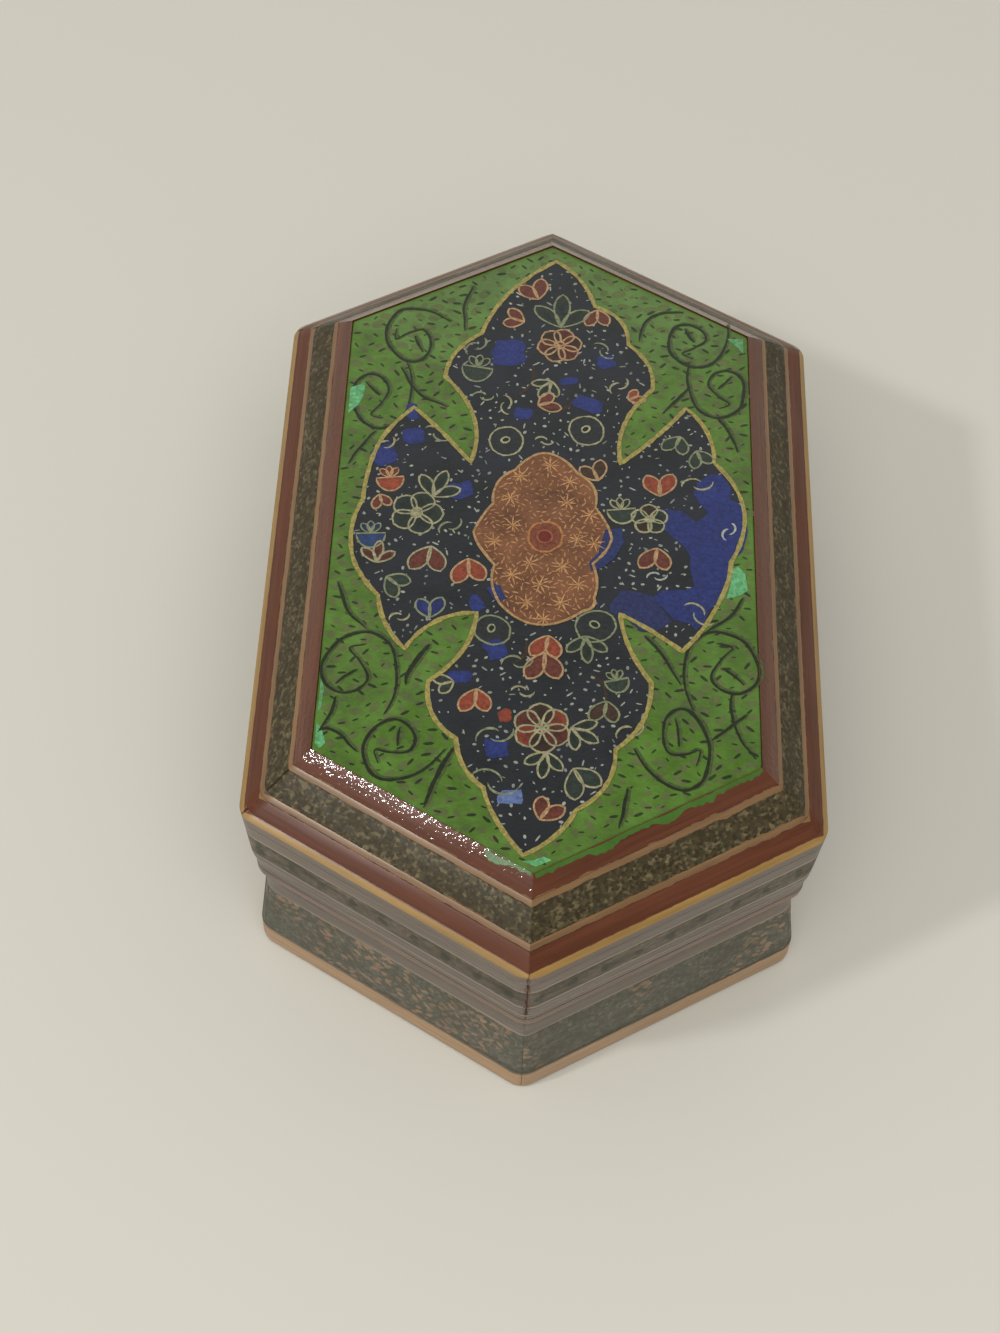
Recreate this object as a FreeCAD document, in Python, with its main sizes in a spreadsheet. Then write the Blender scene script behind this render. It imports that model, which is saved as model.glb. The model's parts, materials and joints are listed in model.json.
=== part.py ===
"""Hexagonal trinket box with mitred boards, inlaid bands, a painted lid panel and two small hinges."""
import FreeCAD, Part
import math
import os
import Sketcher

doc = FreeCAD.newDocument("TrinketBox")
sheet = doc.addObject("Spreadsheet::Sheet", "Sizes")

# Driving dimensions in millimetres. Heights are above the table. An inset is measured level, from the
# rim's edge inwards.
SIZES = [
    # Plan: an elongated hexagon
    ("rim_width", 100.0, "across the two long sides, at the rim"),
    ("long_side", 110.0, "length of a long side, at the rim"),
    ("tip_angle", 120.0, "angle of the two pointed ends"),
    ("tip_rounding", 5.0, "radius of the two pointed corners, at the rim"),
    # Heights
    ("gap_height", 28.0, "middle of the closing gap"),
    ("closing_gap", 0.3, "between the body and the closed lid"),
    ("rim_height", 47.0, "edge of the rim"),
    ("panel_height", 58.0, "top of the painted panel"),
    # Side boards
    ("board_inset", 7.0, "inner face of the side boards"),
    ("lip_inset", 1.45, "outer face of both lips at the gap"),
    ("base_thickness", 3.2, "bottom board"),
    ("lid_joint_drop", 2.5, "drop from the rim to the joint of the side and slope boards"),
    ("lid_draft", 0.8, "inset of the lid's side where its rounding starts"),
    ("lid_bulge_radius", 16.0, "rounding of the lid's side towards the gap"),
    ("body_hollow_radius", 17.0, "hollow under the body's top edge"),
    # Inlay on the lid's side
    ("lid_stars_width", 6.1, "width of the star band in the lid's side, between its lines"),
    ("lid_stars_rise", 0.2, "rise of the star band above the middle of the lid's side"),
    # Inlay on the body's side
    ("waist_inset", 2.6, "narrowest place of the body"),
    ("waist_height", 18.6, "upper edge of the body's inlay"),
    ("flare_inset", 1.1, "lower edge of the body's inlay"),
    ("inlay_thickness", 0.8, "inlay veneer on both sides"),
    ("string_width", 0.7, "light inlaid lines"),
    ("string_depth", 0.7, "depth of the inlaid lines"),
    ("string_margin", 0.05, "wood between a line and the hinge's relief"),
    # Foot
    ("foot_height", 6.0, "light strip round the foot"),
    ("foot_inset", 0.9, "outer face of that strip"),
    ("foot_thickness", 1.6, "thickness of that strip"),
    ("foot_round", 1.1, "rounding of its lower edge"),
    # Sloping frame of the lid, from the outside to the panel
    ("edge_width", 1.05, "yellow edge strip"),
    ("outer_red_width", 2.45, "outer red band"),
    ("frame_string_width", 0.9, "light lines beside the inlay"),
    ("frame_inlay_width", 4.05, "inlay band of the frame"),
    ("inner_red_width", 2.95, "inner red band"),
    ("frame_drop", 1.3, "plumb thickness of the bands"),
    ("slope_drop", 5.4, "plumb thickness of the sloping boards"),
    ("painting_thickness", 1.2, "painted panel"),
    ("panel_board_thickness", 4.0, "board under the painted panel"),
    # Velvet
    ("velvet_thickness", 0.5, "lining of the walls and the lid"),
    ("pad_thickness", 1.0, "pad on the floor"),
    ("velvet_margin", 0.8, "bare wood between the gap and the lining"),
    # Hinges
    ("hinge_length", 18.0, "length of a hinge"),
    ("hinge_spacing", 64.0, "between the middles of the two hinges"),
    ("hinge_axis_inset", 1.15, "hinge axis"),
    ("knuckle_radius", 0.95, "outside of the knuckles"),
    ("middle_knuckle", 8.0, "length of the lid's knuckle"),
    ("knuckle_gap", 0.2, "between neighbouring knuckles"),
    ("knuckle_relief", 0.1, "wood cut clear of the knuckles"),
    ("pin_radius", 0.45, "hinge pin"),
    ("pin_clearance", 0.05, "between the pin and the knuckles, all round"),
    ("leaf_thickness", 0.7, "hinge leaves"),
    ("leaf_inset", 6.2, "inner edge of the leaves"),
    ("leaf_clearance", 0.15, "between a leaf and the other leaf's knuckle"),
    ("mortise_fit", 0.05, "between a leaf and its mortise"),
    ("nail_spacing", 12.0, "between the two nails of a leaf"),
    ("nail_radius", 0.4, "nail shank"),
    ("nail_head_radius", 0.9, "nail head"),
    ("nail_head_height", 0.5, "countersunk head"),
    ("nail_length", 3.4, "nail, head included"),
    ("nail_fit", 0.03, "between a nail and its hole"),
]

for row, (alias, value, meaning) in enumerate(SIZES, start=1):
    sheet.set("A%d" % row, meaning)
    sheet.set("B%d" % row, str(value))
    sheet.setAlias("B%d" % row, alias)
doc.recompute()


class Size:
    """A size with its present value and its expression in the sheet's names."""

    def __init__(self, value, text):
        self.value = value
        self.text = text

    @staticmethod
    def of(item):
        return item if isinstance(item, Size) else Size(float(item), repr(float(item)))

    def combine(self, other, sign, result):
        return Size(result, "(%s %s %s)" % (self.text, sign, Size.of(other).text))

    def __add__(self, other):
        return self.combine(other, "+", self.value + Size.of(other).value)

    def __sub__(self, other):
        return self.combine(other, "-", self.value - Size.of(other).value)

    def __mul__(self, other):
        return self.combine(other, "*", self.value * Size.of(other).value)

    def __truediv__(self, other):
        return self.combine(other, "/", self.value / Size.of(other).value)

    def __neg__(self):
        return Size(-self.value, "(-%s)" % self.text)


def cell(alias):
    """The size that a cell of the sheet holds."""
    return Size(float(sheet.get(alias)), "Sizes.%s" % alias)


def tangent(angle):
    """Tangent of a size in degrees."""
    return Size(math.tan(math.radians(angle.value)), "tan(%s * 1deg)" % angle.text)


def sine(angle):
    """Sine of a size in degrees."""
    return Size(math.sin(math.radians(angle.value)), "sin(%s * 1deg)" % angle.text)


def cosine(angle):
    """Cosine of a size in degrees."""
    return Size(math.cos(math.radians(angle.value)), "cos(%s * 1deg)" % angle.text)


def bind(thing, prop, size):
    """Set a property and keep it bound to the sheet."""
    thing.setExpression(prop, Size.of(size).text)


# Plan of the rim
half_width = cell("rim_width") / 2
half_side = cell("long_side") / 2
half_tip = cell("tip_angle") / 2
tip_reach = half_side + half_width / tangent(half_tip)
tip_side_distance = tip_reach * sine(half_tip)
side_corner_pull = tangent(half_tip / 2)
tip_corner_pull = tangent(half_tip)

# Levels and profile points shared by the pieces
body_top = cell("gap_height") - cell("closing_gap") / 2
lid_bottom = cell("gap_height") + cell("closing_gap") / 2
slope_run = (cell("edge_width") + cell("outer_red_width") + cell("frame_string_width") * 2
             + cell("frame_inlay_width") + cell("inner_red_width"))
slope_rise = (cell("panel_height") - cell("rim_height")) / slope_run
panel_board_top = cell("panel_height") - cell("painting_thickness")
panel_board_bottom = panel_board_top - cell("panel_board_thickness")
string_set_back = cell("knuckle_radius") + cell("knuckle_relief") + cell("string_margin")
body_string_top = cell("gap_height") - string_set_back
body_string_low = body_string_top - cell("string_width")
lid_string_low = cell("gap_height") + string_set_back
lid_string_top = lid_string_low + cell("string_width")
waist_string_top = cell("waist_height") + cell("string_width")
joint = cell("rim_height") - cell("lid_joint_drop")
stars_middle = (lid_string_top + joint) / 2 + cell("lid_stars_rise")
stars_high = stars_middle + cell("lid_stars_width") / 2
stars_low = stars_middle - cell("lid_stars_width") / 2
stars_string_top = stars_high + cell("string_width")
stars_string_low = stars_low - cell("string_width")
mitre_reach = slope_run * 1.5
mitre_margin = cell("edge_width") + 1.0


def lid_side(height):
    """Inset of the lid's side at a height between the rim and the hollow."""
    fall = cell("rim_height") - height
    return cell("lid_draft") * fall / (cell("rim_height") - stars_string_low)


def slope_top(inset, drop=0.0):
    """Height of the frame's slope at an inset, or of a surface a plumb drop below it."""
    return cell("rim_height") - drop + slope_rise * inset


def outline(name, points, arcs=None):
    """A closed sketch of straight lines through points, some replaced by arcs.

    points are pairs of sizes. arcs maps the number of a stretch to its radius and the side it bows to,
    1 for the left of its direction and -1 for the right.
    """
    arcs = arcs or {}
    sketch = doc.addObject("Sketcher::SketchObject", name)
    count = len(points)
    corners = [FreeCAD.Vector(x.value, y.value, 0) for x, y in points]
    ends = []
    for number in range(count):
        start, end = corners[number], corners[(number + 1) % count]
        if number not in arcs:
            sketch.addGeometry(Part.LineSegment(start, end), False)
            ends.append((1, 2))
            continue
        radius, side = arcs[number]
        chord = end - start
        across = FreeCAD.Vector(-chord.y, chord.x, 0).normalize() * side
        depth = math.sqrt(radius.value ** 2 - (chord.Length / 2) ** 2)
        centre = (start + end) * 0.5 - across * depth
        first, last = (end, start) if side > 0 else (start, end)
        angles = [math.atan2(point.y - centre.y, point.x - centre.x) for point in (first, last)]
        if angles[1] < angles[0]:
            angles[1] += 2 * math.pi
        circle = Part.Circle(centre, FreeCAD.Vector(0, 0, 1), radius.value)
        sketch.addGeometry(Part.ArcOfCircle(circle, angles[0], angles[1]), False)
        ends.append((2, 1) if side > 0 else (1, 2))
    for number in range(count):
        following = (number + 1) % count
        sketch.addConstraint(Sketcher.Constraint(
            "Coincident", number, ends[number][1], following, ends[following][0]))
    for number, (x, y) in enumerate(points):
        point = (number, ends[number][0])
        for kind, size in (("DistanceX", x), ("DistanceY", y)):
            place = sketch.addConstraint(Sketcher.Constraint(kind, -1, 1, point[0], point[1], size.value))
            sketch.setExpression("Constraints[%d]" % place, size.text)
        if number in arcs:
            radius = arcs[number][0]
            place = sketch.addConstraint(Sketcher.Constraint("Radius", number, radius.value))
            sketch.setExpression("Constraints[%d]" % place, radius.text)
    return sketch


def extrusion(name, sketch, direction, forward, backward=0.0):
    """A solid swept straight from a closed sketch."""
    solid = doc.addObject("Part::Extrusion", name)
    solid.Base = sketch
    solid.DirMode = "Custom"
    solid.Dir = direction
    solid.Solid = True
    bind(solid, "LengthFwd", forward)
    bind(solid, "LengthRev", backward)
    return solid


def common(name, base, tool):
    """The solid that two solids share."""
    piece = doc.addObject("Part::Common", name)
    piece.Base = base
    piece.Tool = tool
    return piece


def cut(name, base, tool):
    """One solid less another."""
    piece = doc.addObject("Part::Cut", name)
    piece.Base = base
    piece.Tool = tool
    return piece


def fuse(name, shapes):
    """Several solids in one."""
    piece = doc.addObject("Part::MultiFuse", name)
    piece.Shapes = shapes
    piece.Refine = True
    return piece


def group(name, members):
    """Separate solids kept in one node."""
    piece = doc.addObject("Part::Compound", name)
    piece.Links = members
    return piece


nodes = []


def keep(piece, label):
    """Name a sub-part, which names its file."""
    piece.Label = label
    nodes.append(piece)
    return piece


# The two pointed corners are rounded and the four side corners are sharp. A pull is how many times
# faster a mitre's inset grows than that end of the side draws in.
side_pull = Size.of(1.0) / side_corner_pull
PULLS = {"tip": tip_corner_pull, "side": side_pull}
tip_radius = cell("tip_rounding")
tip_turn = Size.of(90.0) - half_tip


def rounding_start(end, sense):
    """Place along a side where the rounding of a pointed corner starts, from the rim's sharp corner."""
    return end - tip_radius / tip_corner_pull * sense


def upright_end(end, corner, sense):
    """Plan points of one end of an upright moulding's straight stretch, from the box's middle outwards."""
    start = (Size.of(0.0), end - mitre_reach / PULLS[corner] * sense)
    if corner == "side":
        return [start, (mitre_reach + mitre_margin, end + mitre_margin / side_pull * sense)]
    place = rounding_start(end, sense)
    return [start, (mitre_reach - tip_radius, place), (mitre_reach + mitre_margin, place)]


def slope_end(end, corner, sense):
    """Plan points of one end of a sloping piece, out to the rounded corner itself."""
    if corner == "side":
        return upright_end(end, corner, sense)
    place = rounding_start(end, sense)
    return [
        (Size.of(0.0), end - mitre_reach / tip_corner_pull * sense),
        (
            mitre_reach - tip_radius + tip_radius * cosine(tip_turn),
            place + tip_radius * sine(tip_turn) * sense,
        ),
        (mitre_reach, place),
    ]


def side_wedge(name, low_points, high_points, rounded):
    """The plan of one side between its two ends, as a tall solid.

    It lies with X pointing out of the box and the rim's edge at X = mitre_reach.
    """
    arcs = {}
    if rounded and len(low_points) == 3:
        arcs[1] = (tip_radius, -1)
    if rounded and len(high_points) == 3:
        arcs[len(low_points)] = (tip_radius, -1)
    plan = outline(name + "_plan", low_points + high_points[::-1], arcs)
    return extrusion(name, plan, FreeCAD.Vector(0, 0, 1), cell("panel_height") + 1.0, 1.0)


near_tip_end = -(tip_reach * cosine(half_tip))
near_corner_end = half_width * sine(half_tip) - half_side * cosine(half_tip)
STRETCHES = {
    "long": ((-half_side, "side"), (half_side, "side")),
    "tip_first": ((near_tip_end, "tip"), (near_corner_end, "side")),
    "tip_last": ((-near_corner_end, "side"), (-near_tip_end, "tip")),
}
WEDGES = {}
SLOPE_WEDGES = {}
for name, (low, high) in STRETCHES.items():
    WEDGES[name] = side_wedge(name + "_wedge", upright_end(*low, -1), upright_end(*high, 1), False)
    SLOPE_WEDGES[name] = side_wedge(name + "_slope_wedge", slope_end(*low, -1), slope_end(*high, 1), True)

# The six sides, anticlockwise from the near tip: name, wedge, distance from the axis, facing angle
SIDES = [
    ("near_right", "tip_first", tip_side_distance, -half_tip),
    ("right", "long", half_width, Size.of(0.0)),
    ("far_right", "tip_last", tip_side_distance, half_tip),
    ("far_left", "tip_first", tip_side_distance, Size.of(180.0) - half_tip),
    ("left", "long", half_width, Size.of(180.0)),
    ("near_left", "tip_last", tip_side_distance, Size.of(180.0) + half_tip),
]


def profile_sketch(name, profile, arcs):
    """An upright sketch from a profile given as insets and heights."""
    sketch = outline(name, [(mitre_reach - inset, height) for inset, height in profile], arcs)
    sketch.Placement = FreeCAD.Placement(FreeCAD.Vector(), FreeCAD.Rotation(FreeCAD.Vector(1, 0, 0), 90))
    return sketch


def corner_turn(name, sketch, place, sense):
    """A profile turned round the rounding of a pointed corner, up to its mitre."""
    turn = doc.addObject("Part::Revolution", name)
    turn.Source = sketch
    turn.Axis = FreeCAD.Vector(0, 0, 1)
    turn.Solid = True
    bind(turn, "Base.x", mitre_reach - tip_radius)
    bind(turn, "Angle", tip_turn * sense)
    bind(turn, "Placement.Base.y", place)
    return turn


def place_on_side(piece, distance, facing):
    """Stand a mitred piece on its side of the hexagon."""
    piece.Placement = FreeCAD.Placement(FreeCAD.Vector(), FreeCAD.Rotation(FreeCAD.Vector(0, 0, 1), 0))
    shift = distance - mitre_reach
    bind(piece, "Placement.Base.x", shift * cosine(facing))
    bind(piece, "Placement.Base.y", shift * sine(facing))
    bind(piece, "Placement.Rotation.Angle", facing)


def mitred_six(name, outer, inner, profile, arcs=None):
    """Six lengths of one moulding between an outer and an inner inset, one for each side.

    Their ends are mitred, and they follow a rounded corner as deep as the rounding reaches.
    profile gives the moulding's points for the inset at which it ends.
    """
    whole = profile_sketch(name + "_profile", profile(inner), arcs)
    length = half_side + half_width
    stock = extrusion(name + "_moulding", whole, FreeCAD.Vector(0, 1, 0), length, length)
    turned = whole
    if inner.value > tip_radius.value:
        turned = profile_sketch(name + "_turned_profile", profile(tip_radius), arcs)
    lengths = {}
    for wedge, (low, high) in STRETCHES.items():
        lengths[wedge] = [stock]
        if wedge != "long":
            lengths[wedge] = [common("%s_%s_straight" % (name, wedge), stock, WEDGES[wedge])]
        for (end, corner), sense in ((low, -1), (high, 1)):
            if corner == "tip":
                place = rounding_start(end, sense)
                lengths[wedge].append(corner_turn("%s_%s_turn" % (name, wedge), turned, place, sense))
    pieces = {}
    for side, wedge, distance, facing in SIDES:
        piece_name = "%s_%s" % (name, side)
        if wedge == "long":
            pieces[side] = common(piece_name, stock, WEDGES[wedge])
        else:
            pieces[side] = fuse(piece_name, lengths[wedge])
        place_on_side(pieces[side], distance, facing)
    return pieces


def sloping_six(name, profile):
    """Six mitred lengths of a piece of the frame, cut plumb at the rounded corners."""
    stock = extrusion(name + "_moulding", profile_sketch(name + "_profile", profile, None),
                      FreeCAD.Vector(0, 1, 0), half_side + half_width, half_side + half_width)
    pieces = {}
    for side, wedge, distance, facing in SIDES:
        pieces[side] = common("%s_%s" % (name, side), stock, SLOPE_WEDGES[wedge])
        place_on_side(pieces[side], distance, facing)
    return pieces


def hexagon(name, inset, height):
    """The hexagon at an inset from the rim, as a level sketch at a height."""
    x = half_width - inset
    y_side = half_side - inset * side_corner_pull
    y_tip = tip_reach - inset / sine(half_tip)
    middle = Size.of(0.0)
    sketch = outline(name, [(middle, -y_tip), (x, -y_side), (x, y_side),
                            (middle, y_tip), (-x, y_side), (-x, -y_side)])
    bind(sketch, "Placement.Base.z", height)
    return sketch


def plate(name, inset, low, high):
    """A level hexagonal plate."""
    return extrusion(name, hexagon(name + "_plan", inset, low), FreeCAD.Vector(0, 0, 1), high - low)


def hex_stack(name, levels):
    """A solid through level hexagons, given as insets and heights from the lowest up."""
    stack = doc.addObject("Part::Loft", name)
    stack.Sections = [hexagon("%s_level_%d" % (name, number), inset, height)
                      for number, (inset, height) in enumerate(levels)]
    stack.Solid = True
    stack.Ruled = True
    return stack


# Body side boards, with the grooves of their inlaid lines and the hollow between them
zero = Size.of(0.0)
flare_back = cell("flare_inset") + cell("inlay_thickness")
waist_back = cell("waist_inset") + cell("inlay_thickness")
foot_back = cell("foot_inset") + cell("foot_thickness")
body_boards = mitred_six("body_board", cell("lip_inset"), cell("board_inset"), lambda inner: [
    (cell("lip_inset"), body_top),
    (inner, body_top),
    (inner, zero),
    (foot_back, zero),
    (foot_back, cell("foot_height")),
    (flare_back, cell("foot_height")),
    (waist_back, cell("waist_height")),
    (cell("waist_inset") + cell("string_depth"), cell("waist_height")),
    (cell("waist_inset") + cell("string_depth"), waist_string_top),
    (cell("waist_inset"), waist_string_top),
    (cell("lip_inset"), body_string_low),
    (cell("lip_inset") + cell("string_depth"), body_string_low),
    (cell("lip_inset") + cell("string_depth"), body_string_top),
    (cell("lip_inset"), body_string_top),
], arcs={9: (cell("body_hollow_radius"), 1)})

body_inlays = mitred_six("body_inlay", cell("flare_inset"), waist_back, lambda inner: [
    (cell("flare_inset"), cell("foot_height")),
    (flare_back, cell("foot_height")),
    (waist_back, cell("waist_height")),
    (cell("waist_inset"), cell("waist_height")),
])

foot_strips = mitred_six("foot_strip", cell("foot_inset"), foot_back, lambda inner: [
    (cell("foot_inset"), cell("foot_height")),
    (inner, cell("foot_height")),
    (inner, zero),
    (cell("foot_inset") + cell("foot_round"), zero),
    (cell("foot_inset"), cell("foot_round")),
], arcs={3: (cell("foot_round"), -1)})


def upright_line(name, inset, low, high):
    """Six lengths of an inlaid line in an upright face."""
    return mitred_six(name, inset, inset + cell("string_depth"), lambda inner: [
        (inset, low), (inner, low), (inner, high), (inset, high)])


waist_line = upright_line("waist_line", cell("waist_inset"), cell("waist_height"), waist_string_top)
body_lip_line = upright_line("body_lip_line", cell("lip_inset"), body_string_low, body_string_top)

# Lid side boards
lid_boards = mitred_six("lid_board", lid_side(joint), cell("board_inset"), lambda inner: [
    (cell("lip_inset"), lid_bottom),
    (inner, lid_bottom),
    (inner, joint),
    (lid_side(joint), joint),
    (lid_side(stars_string_top), stars_string_top),
    (lid_side(stars_string_top) + cell("string_depth"), stars_string_top),
    (lid_side(stars_high) + cell("string_depth"), stars_high),
    (lid_side(stars_high) + cell("inlay_thickness"), stars_high),
    (lid_side(stars_low) + cell("inlay_thickness"), stars_low),
    (lid_side(stars_low) + cell("string_depth"), stars_low),
    (lid_side(stars_string_low) + cell("string_depth"), stars_string_low),
    (lid_side(stars_string_low), stars_string_low),
    (cell("lip_inset"), lid_string_top),
    (cell("lip_inset") + cell("string_depth"), lid_string_top),
    (cell("lip_inset") + cell("string_depth"), lid_string_low),
    (cell("lip_inset"), lid_string_low),
], arcs={11: (cell("lid_bulge_radius"), 1)})


def leaning_strip(name, thickness, low, high):
    """Six lengths of a strip let into the lid's leaning side between two heights."""
    return mitred_six(name, lid_side(high), lid_side(low) + thickness, lambda inner: [
        (lid_side(low), low), (lid_side(low) + thickness, low),
        (lid_side(high) + thickness, high), (lid_side(high), high)])


lid_inlays = leaning_strip("lid_inlay", cell("inlay_thickness"), stars_low, stars_high)
upper_line = leaning_strip("upper_line", cell("string_depth"), stars_high, stars_string_top)
lower_line = leaning_strip("lower_line", cell("string_depth"), stars_string_low, stars_low)
lid_lip_line = upright_line("lid_lip_line", cell("lip_inset"), lid_string_low, lid_string_top)

# Sloping boards that carry the frame
edge_back = lid_side(cell("rim_height") - cell("frame_drop"))
whole_drop = cell("frame_drop") + cell("slope_drop")


slope_boards = sloping_six("slope_board", [
    (lid_side(joint), joint),
    (cell("board_inset"), joint),
    (cell("board_inset"), slope_top(cell("board_inset"), whole_drop)),
    (slope_run, slope_top(slope_run, whole_drop)),
    (slope_run, slope_top(slope_run, cell("frame_drop"))),
    (edge_back, slope_top(edge_back, cell("frame_drop"))),
])

# Bands of the frame, from the rim to the panel
edge_end = cell("edge_width")
bands = {"yellow_edge": sloping_six("yellow_edge", [
    (zero, cell("rim_height")),
    (edge_end, slope_top(edge_end)),
    (edge_end, slope_top(edge_end, cell("frame_drop"))),
    (edge_back, slope_top(edge_back, cell("frame_drop"))),
])}


def frame_band(name, outer, inner):
    """Six lengths of a band that lies on the slope."""
    return sloping_six(name, [
        (outer, slope_top(outer)), (inner, slope_top(inner)),
        (inner, slope_top(inner, cell("frame_drop"))), (outer, slope_top(outer, cell("frame_drop")))])


band_start = edge_end
for band_name, band_width in [
    ("outer_red_band", cell("outer_red_width")),
    ("outer_frame_line", cell("frame_string_width")),
    ("frame_inlay", cell("frame_inlay_width")),
    ("inner_frame_line", cell("frame_string_width")),
    ("inner_red_band", cell("inner_red_width")),
]:
    bands[band_name] = frame_band(band_name, band_start, band_start + band_width)
    band_start = band_start + band_width

# Flat boards and velvet
base_board = plate("base_board", cell("board_inset"), zero, cell("base_thickness"))
floor_pad = plate("floor_pad", cell("board_inset") + cell("velvet_thickness"), cell("base_thickness"),
                  cell("base_thickness") + cell("pad_thickness"))
panel_board = plate("panel_board", slope_run, panel_board_bottom, panel_board_top)
painted_panel = plate("painted_panel", slope_run, panel_board_top, cell("panel_height"))

velvet = cell("velvet_thickness")
wall_velvet_top = body_top - cell("velvet_margin")
wall_lining = cut(
    "wall_lining",
    plate("wall_lining_outside", cell("board_inset"), cell("base_thickness"), wall_velvet_top),
    plate(
        "wall_lining_inside", cell("board_inset") + velvet, cell("base_thickness") - 1.0, wall_velvet_top + 1.0
    ),
)
lining_start = lid_bottom + cell("velvet_margin")
knee = slope_top(cell("board_inset"), whole_drop)
shoulder = slope_top(slope_run, whole_drop)
lid_lining = cut(
    "lid_lining",
    hex_stack("lid_lining_outside", [
        (cell("board_inset"), lining_start), (cell("board_inset"), knee),
        (slope_run, shoulder), (slope_run, panel_board_bottom)]),
    hex_stack("lid_lining_inside", [
        (cell("board_inset") + velvet, lining_start - 1.0), (cell("board_inset") + velvet, knee - velvet),
        (slope_run + velvet, shoulder - velvet), (slope_run + velvet, panel_board_bottom - velvet)]),
)


# Hinges, let into the left side boards at the gap. Their axis runs along Y.
def block(name, x_low, x_high, y_low, y_high, z_low, z_high):
    """A rectangular block between bound limits."""
    box = doc.addObject("Part::Box", name)
    bind(box, "Length", x_high - x_low)
    bind(box, "Width", y_high - y_low)
    bind(box, "Height", z_high - z_low)
    bind(box, "Placement.Base.x", x_low)
    bind(box, "Placement.Base.y", y_low)
    bind(box, "Placement.Base.z", z_low)
    return box


def rod(name, radius, y_low, y_high):
    """A round bar on the hinge axis between two places along Y."""
    bar = doc.addObject("Part::Cylinder", name)
    bar.Placement = FreeCAD.Placement(FreeCAD.Vector(), FreeCAD.Rotation(FreeCAD.Vector(1, 0, 0), -90))
    bind(bar, "Radius", radius)
    bind(bar, "Height", y_high - y_low)
    bind(bar, "Placement.Base.x", hinge_x)
    bind(bar, "Placement.Base.y", y_low)
    bind(bar, "Placement.Base.z", cell("gap_height"))
    return bar


hinge_x = cell("hinge_axis_inset") - half_width
leaf_start_x = hinge_x + cell("knuckle_radius") + cell("leaf_clearance")
leaf_end_x = cell("leaf_inset") - half_width
nail_x = (leaf_start_x + leaf_end_x) / 2
half_hinge = cell("hinge_length") / 2
half_middle = cell("middle_knuckle") / 2
half_outer = half_middle + cell("knuckle_gap")
HINGES = [("near", cell("hinge_spacing") / -2), ("far", cell("hinge_spacing") / 2)]


def nail(name, y, level, upward, spare):
    """A square nail with an eight-sided flush head, from a level into the wood, larger all round by spare."""
    turn = FreeCAD.Rotation(FreeCAD.Vector(1, 0, 0), 0 if upward else 180)
    parts = []
    for part, sides, radius, height in (("shank", 4, cell("nail_radius"), cell("nail_length")),
                                        ("head", 8, cell("nail_head_radius"), cell("nail_head_height"))):
        solid = doc.addObject("Part::Prism", "%s_%s" % (name, part))
        solid.Polygon = sides
        solid.Placement = FreeCAD.Placement(FreeCAD.Vector(), turn)
        bind(solid, "Circumradius", radius + spare)
        bind(solid, "Height", height + spare)
        bind(solid, "Placement.Base.x", nail_x)
        bind(solid, "Placement.Base.y", y)
        bind(solid, "Placement.Base.z", level)
        parts.append(solid)
    return fuse(name, parts)


def leaf(name, y, level_low, level_high, knuckles):
    """One hinge leaf: a plate, its knuckles and the webs that join them, before it is bored."""
    ends = (y - half_hinge, y + half_hinge)
    parts = [block(name + "_plate", leaf_start_x, leaf_end_x, *ends, level_low, level_high)]
    for number, (start, end) in enumerate(knuckles):
        parts.append(rod("%s_knuckle_%d" % (name, number), cell("knuckle_radius"), start, end))
        web = name + "_web_%d" % number
        parts.append(block(web, hinge_x, leaf_start_x, start, end, level_low, level_high))
    return fuse(name + "_solid", parts)


body_nails = []
lid_nails = []
body_nail_holes = []
lid_nail_holes = []
body_reliefs = []
lid_reliefs = []
hinge_parts = {}
for hinge, y in HINGES:
    body_knuckles = [(y - half_hinge, y - half_outer), (y + half_outer, y + half_hinge)]
    lid_knuckles = [(y - half_middle, y + half_middle)]
    low = body_top - cell("leaf_thickness")
    high = lid_bottom + cell("leaf_thickness")
    for row, offset in enumerate((cell("nail_spacing") / -2, cell("nail_spacing") / 2)):
        place = "%s_%d" % (hinge, row)
        body_nails.append(nail("body_nail_" + place, y + offset, body_top, False, zero))
        lid_nails.append(nail("lid_nail_" + place, y + offset, lid_bottom, True, zero))
        body_nail_holes.append(nail("body_hole_" + place, y + offset, body_top, False, cell("nail_fit")))
        lid_nail_holes.append(nail("lid_hole_" + place, y + offset, lid_bottom, True, cell("nail_fit")))
    bore_radius = cell("pin_radius") + cell("pin_clearance")
    bore = rod(hinge + "_bore", bore_radius, y - half_hinge - 1.0, y + half_hinge + 1.0)
    body_leaf = leaf(hinge + "_body_leaf", y, low, body_top, body_knuckles)
    lid_leaf = leaf(hinge + "_lid_leaf", y, lid_bottom, high, lid_knuckles)
    hinge_parts[hinge + "_hinge_body_leaf"] = cut(
        hinge + "_hinge_body_leaf", body_leaf, fuse(hinge + "_body_holes", [bore] + body_nail_holes[-2:]))
    hinge_parts[hinge + "_hinge_lid_leaf"] = cut(
        hinge + "_hinge_lid_leaf", lid_leaf, fuse(hinge + "_lid_holes", [bore] + lid_nail_holes[-2:]))
    pin = hinge + "_hinge_pin"
    hinge_parts[pin] = rod(pin, cell("pin_radius"), y - half_hinge, y + half_hinge)
    fit = cell("mortise_fit")
    relief = rod(hinge + "_relief", cell("knuckle_radius") + cell("knuckle_relief"),
                 y - half_hinge - fit, y + half_hinge + fit)
    body_mortise = block(hinge + "_body_mortise", hinge_x, leaf_end_x + fit,
                         y - half_hinge - fit, y + half_hinge + fit, low, cell("gap_height"))
    lid_mortise = block(hinge + "_lid_mortise", hinge_x, leaf_end_x + fit,
                        y - half_hinge - fit, y + half_hinge + fit, cell("gap_height"), high)
    body_reliefs += [relief, body_mortise]
    lid_reliefs += [relief, lid_mortise]

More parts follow.
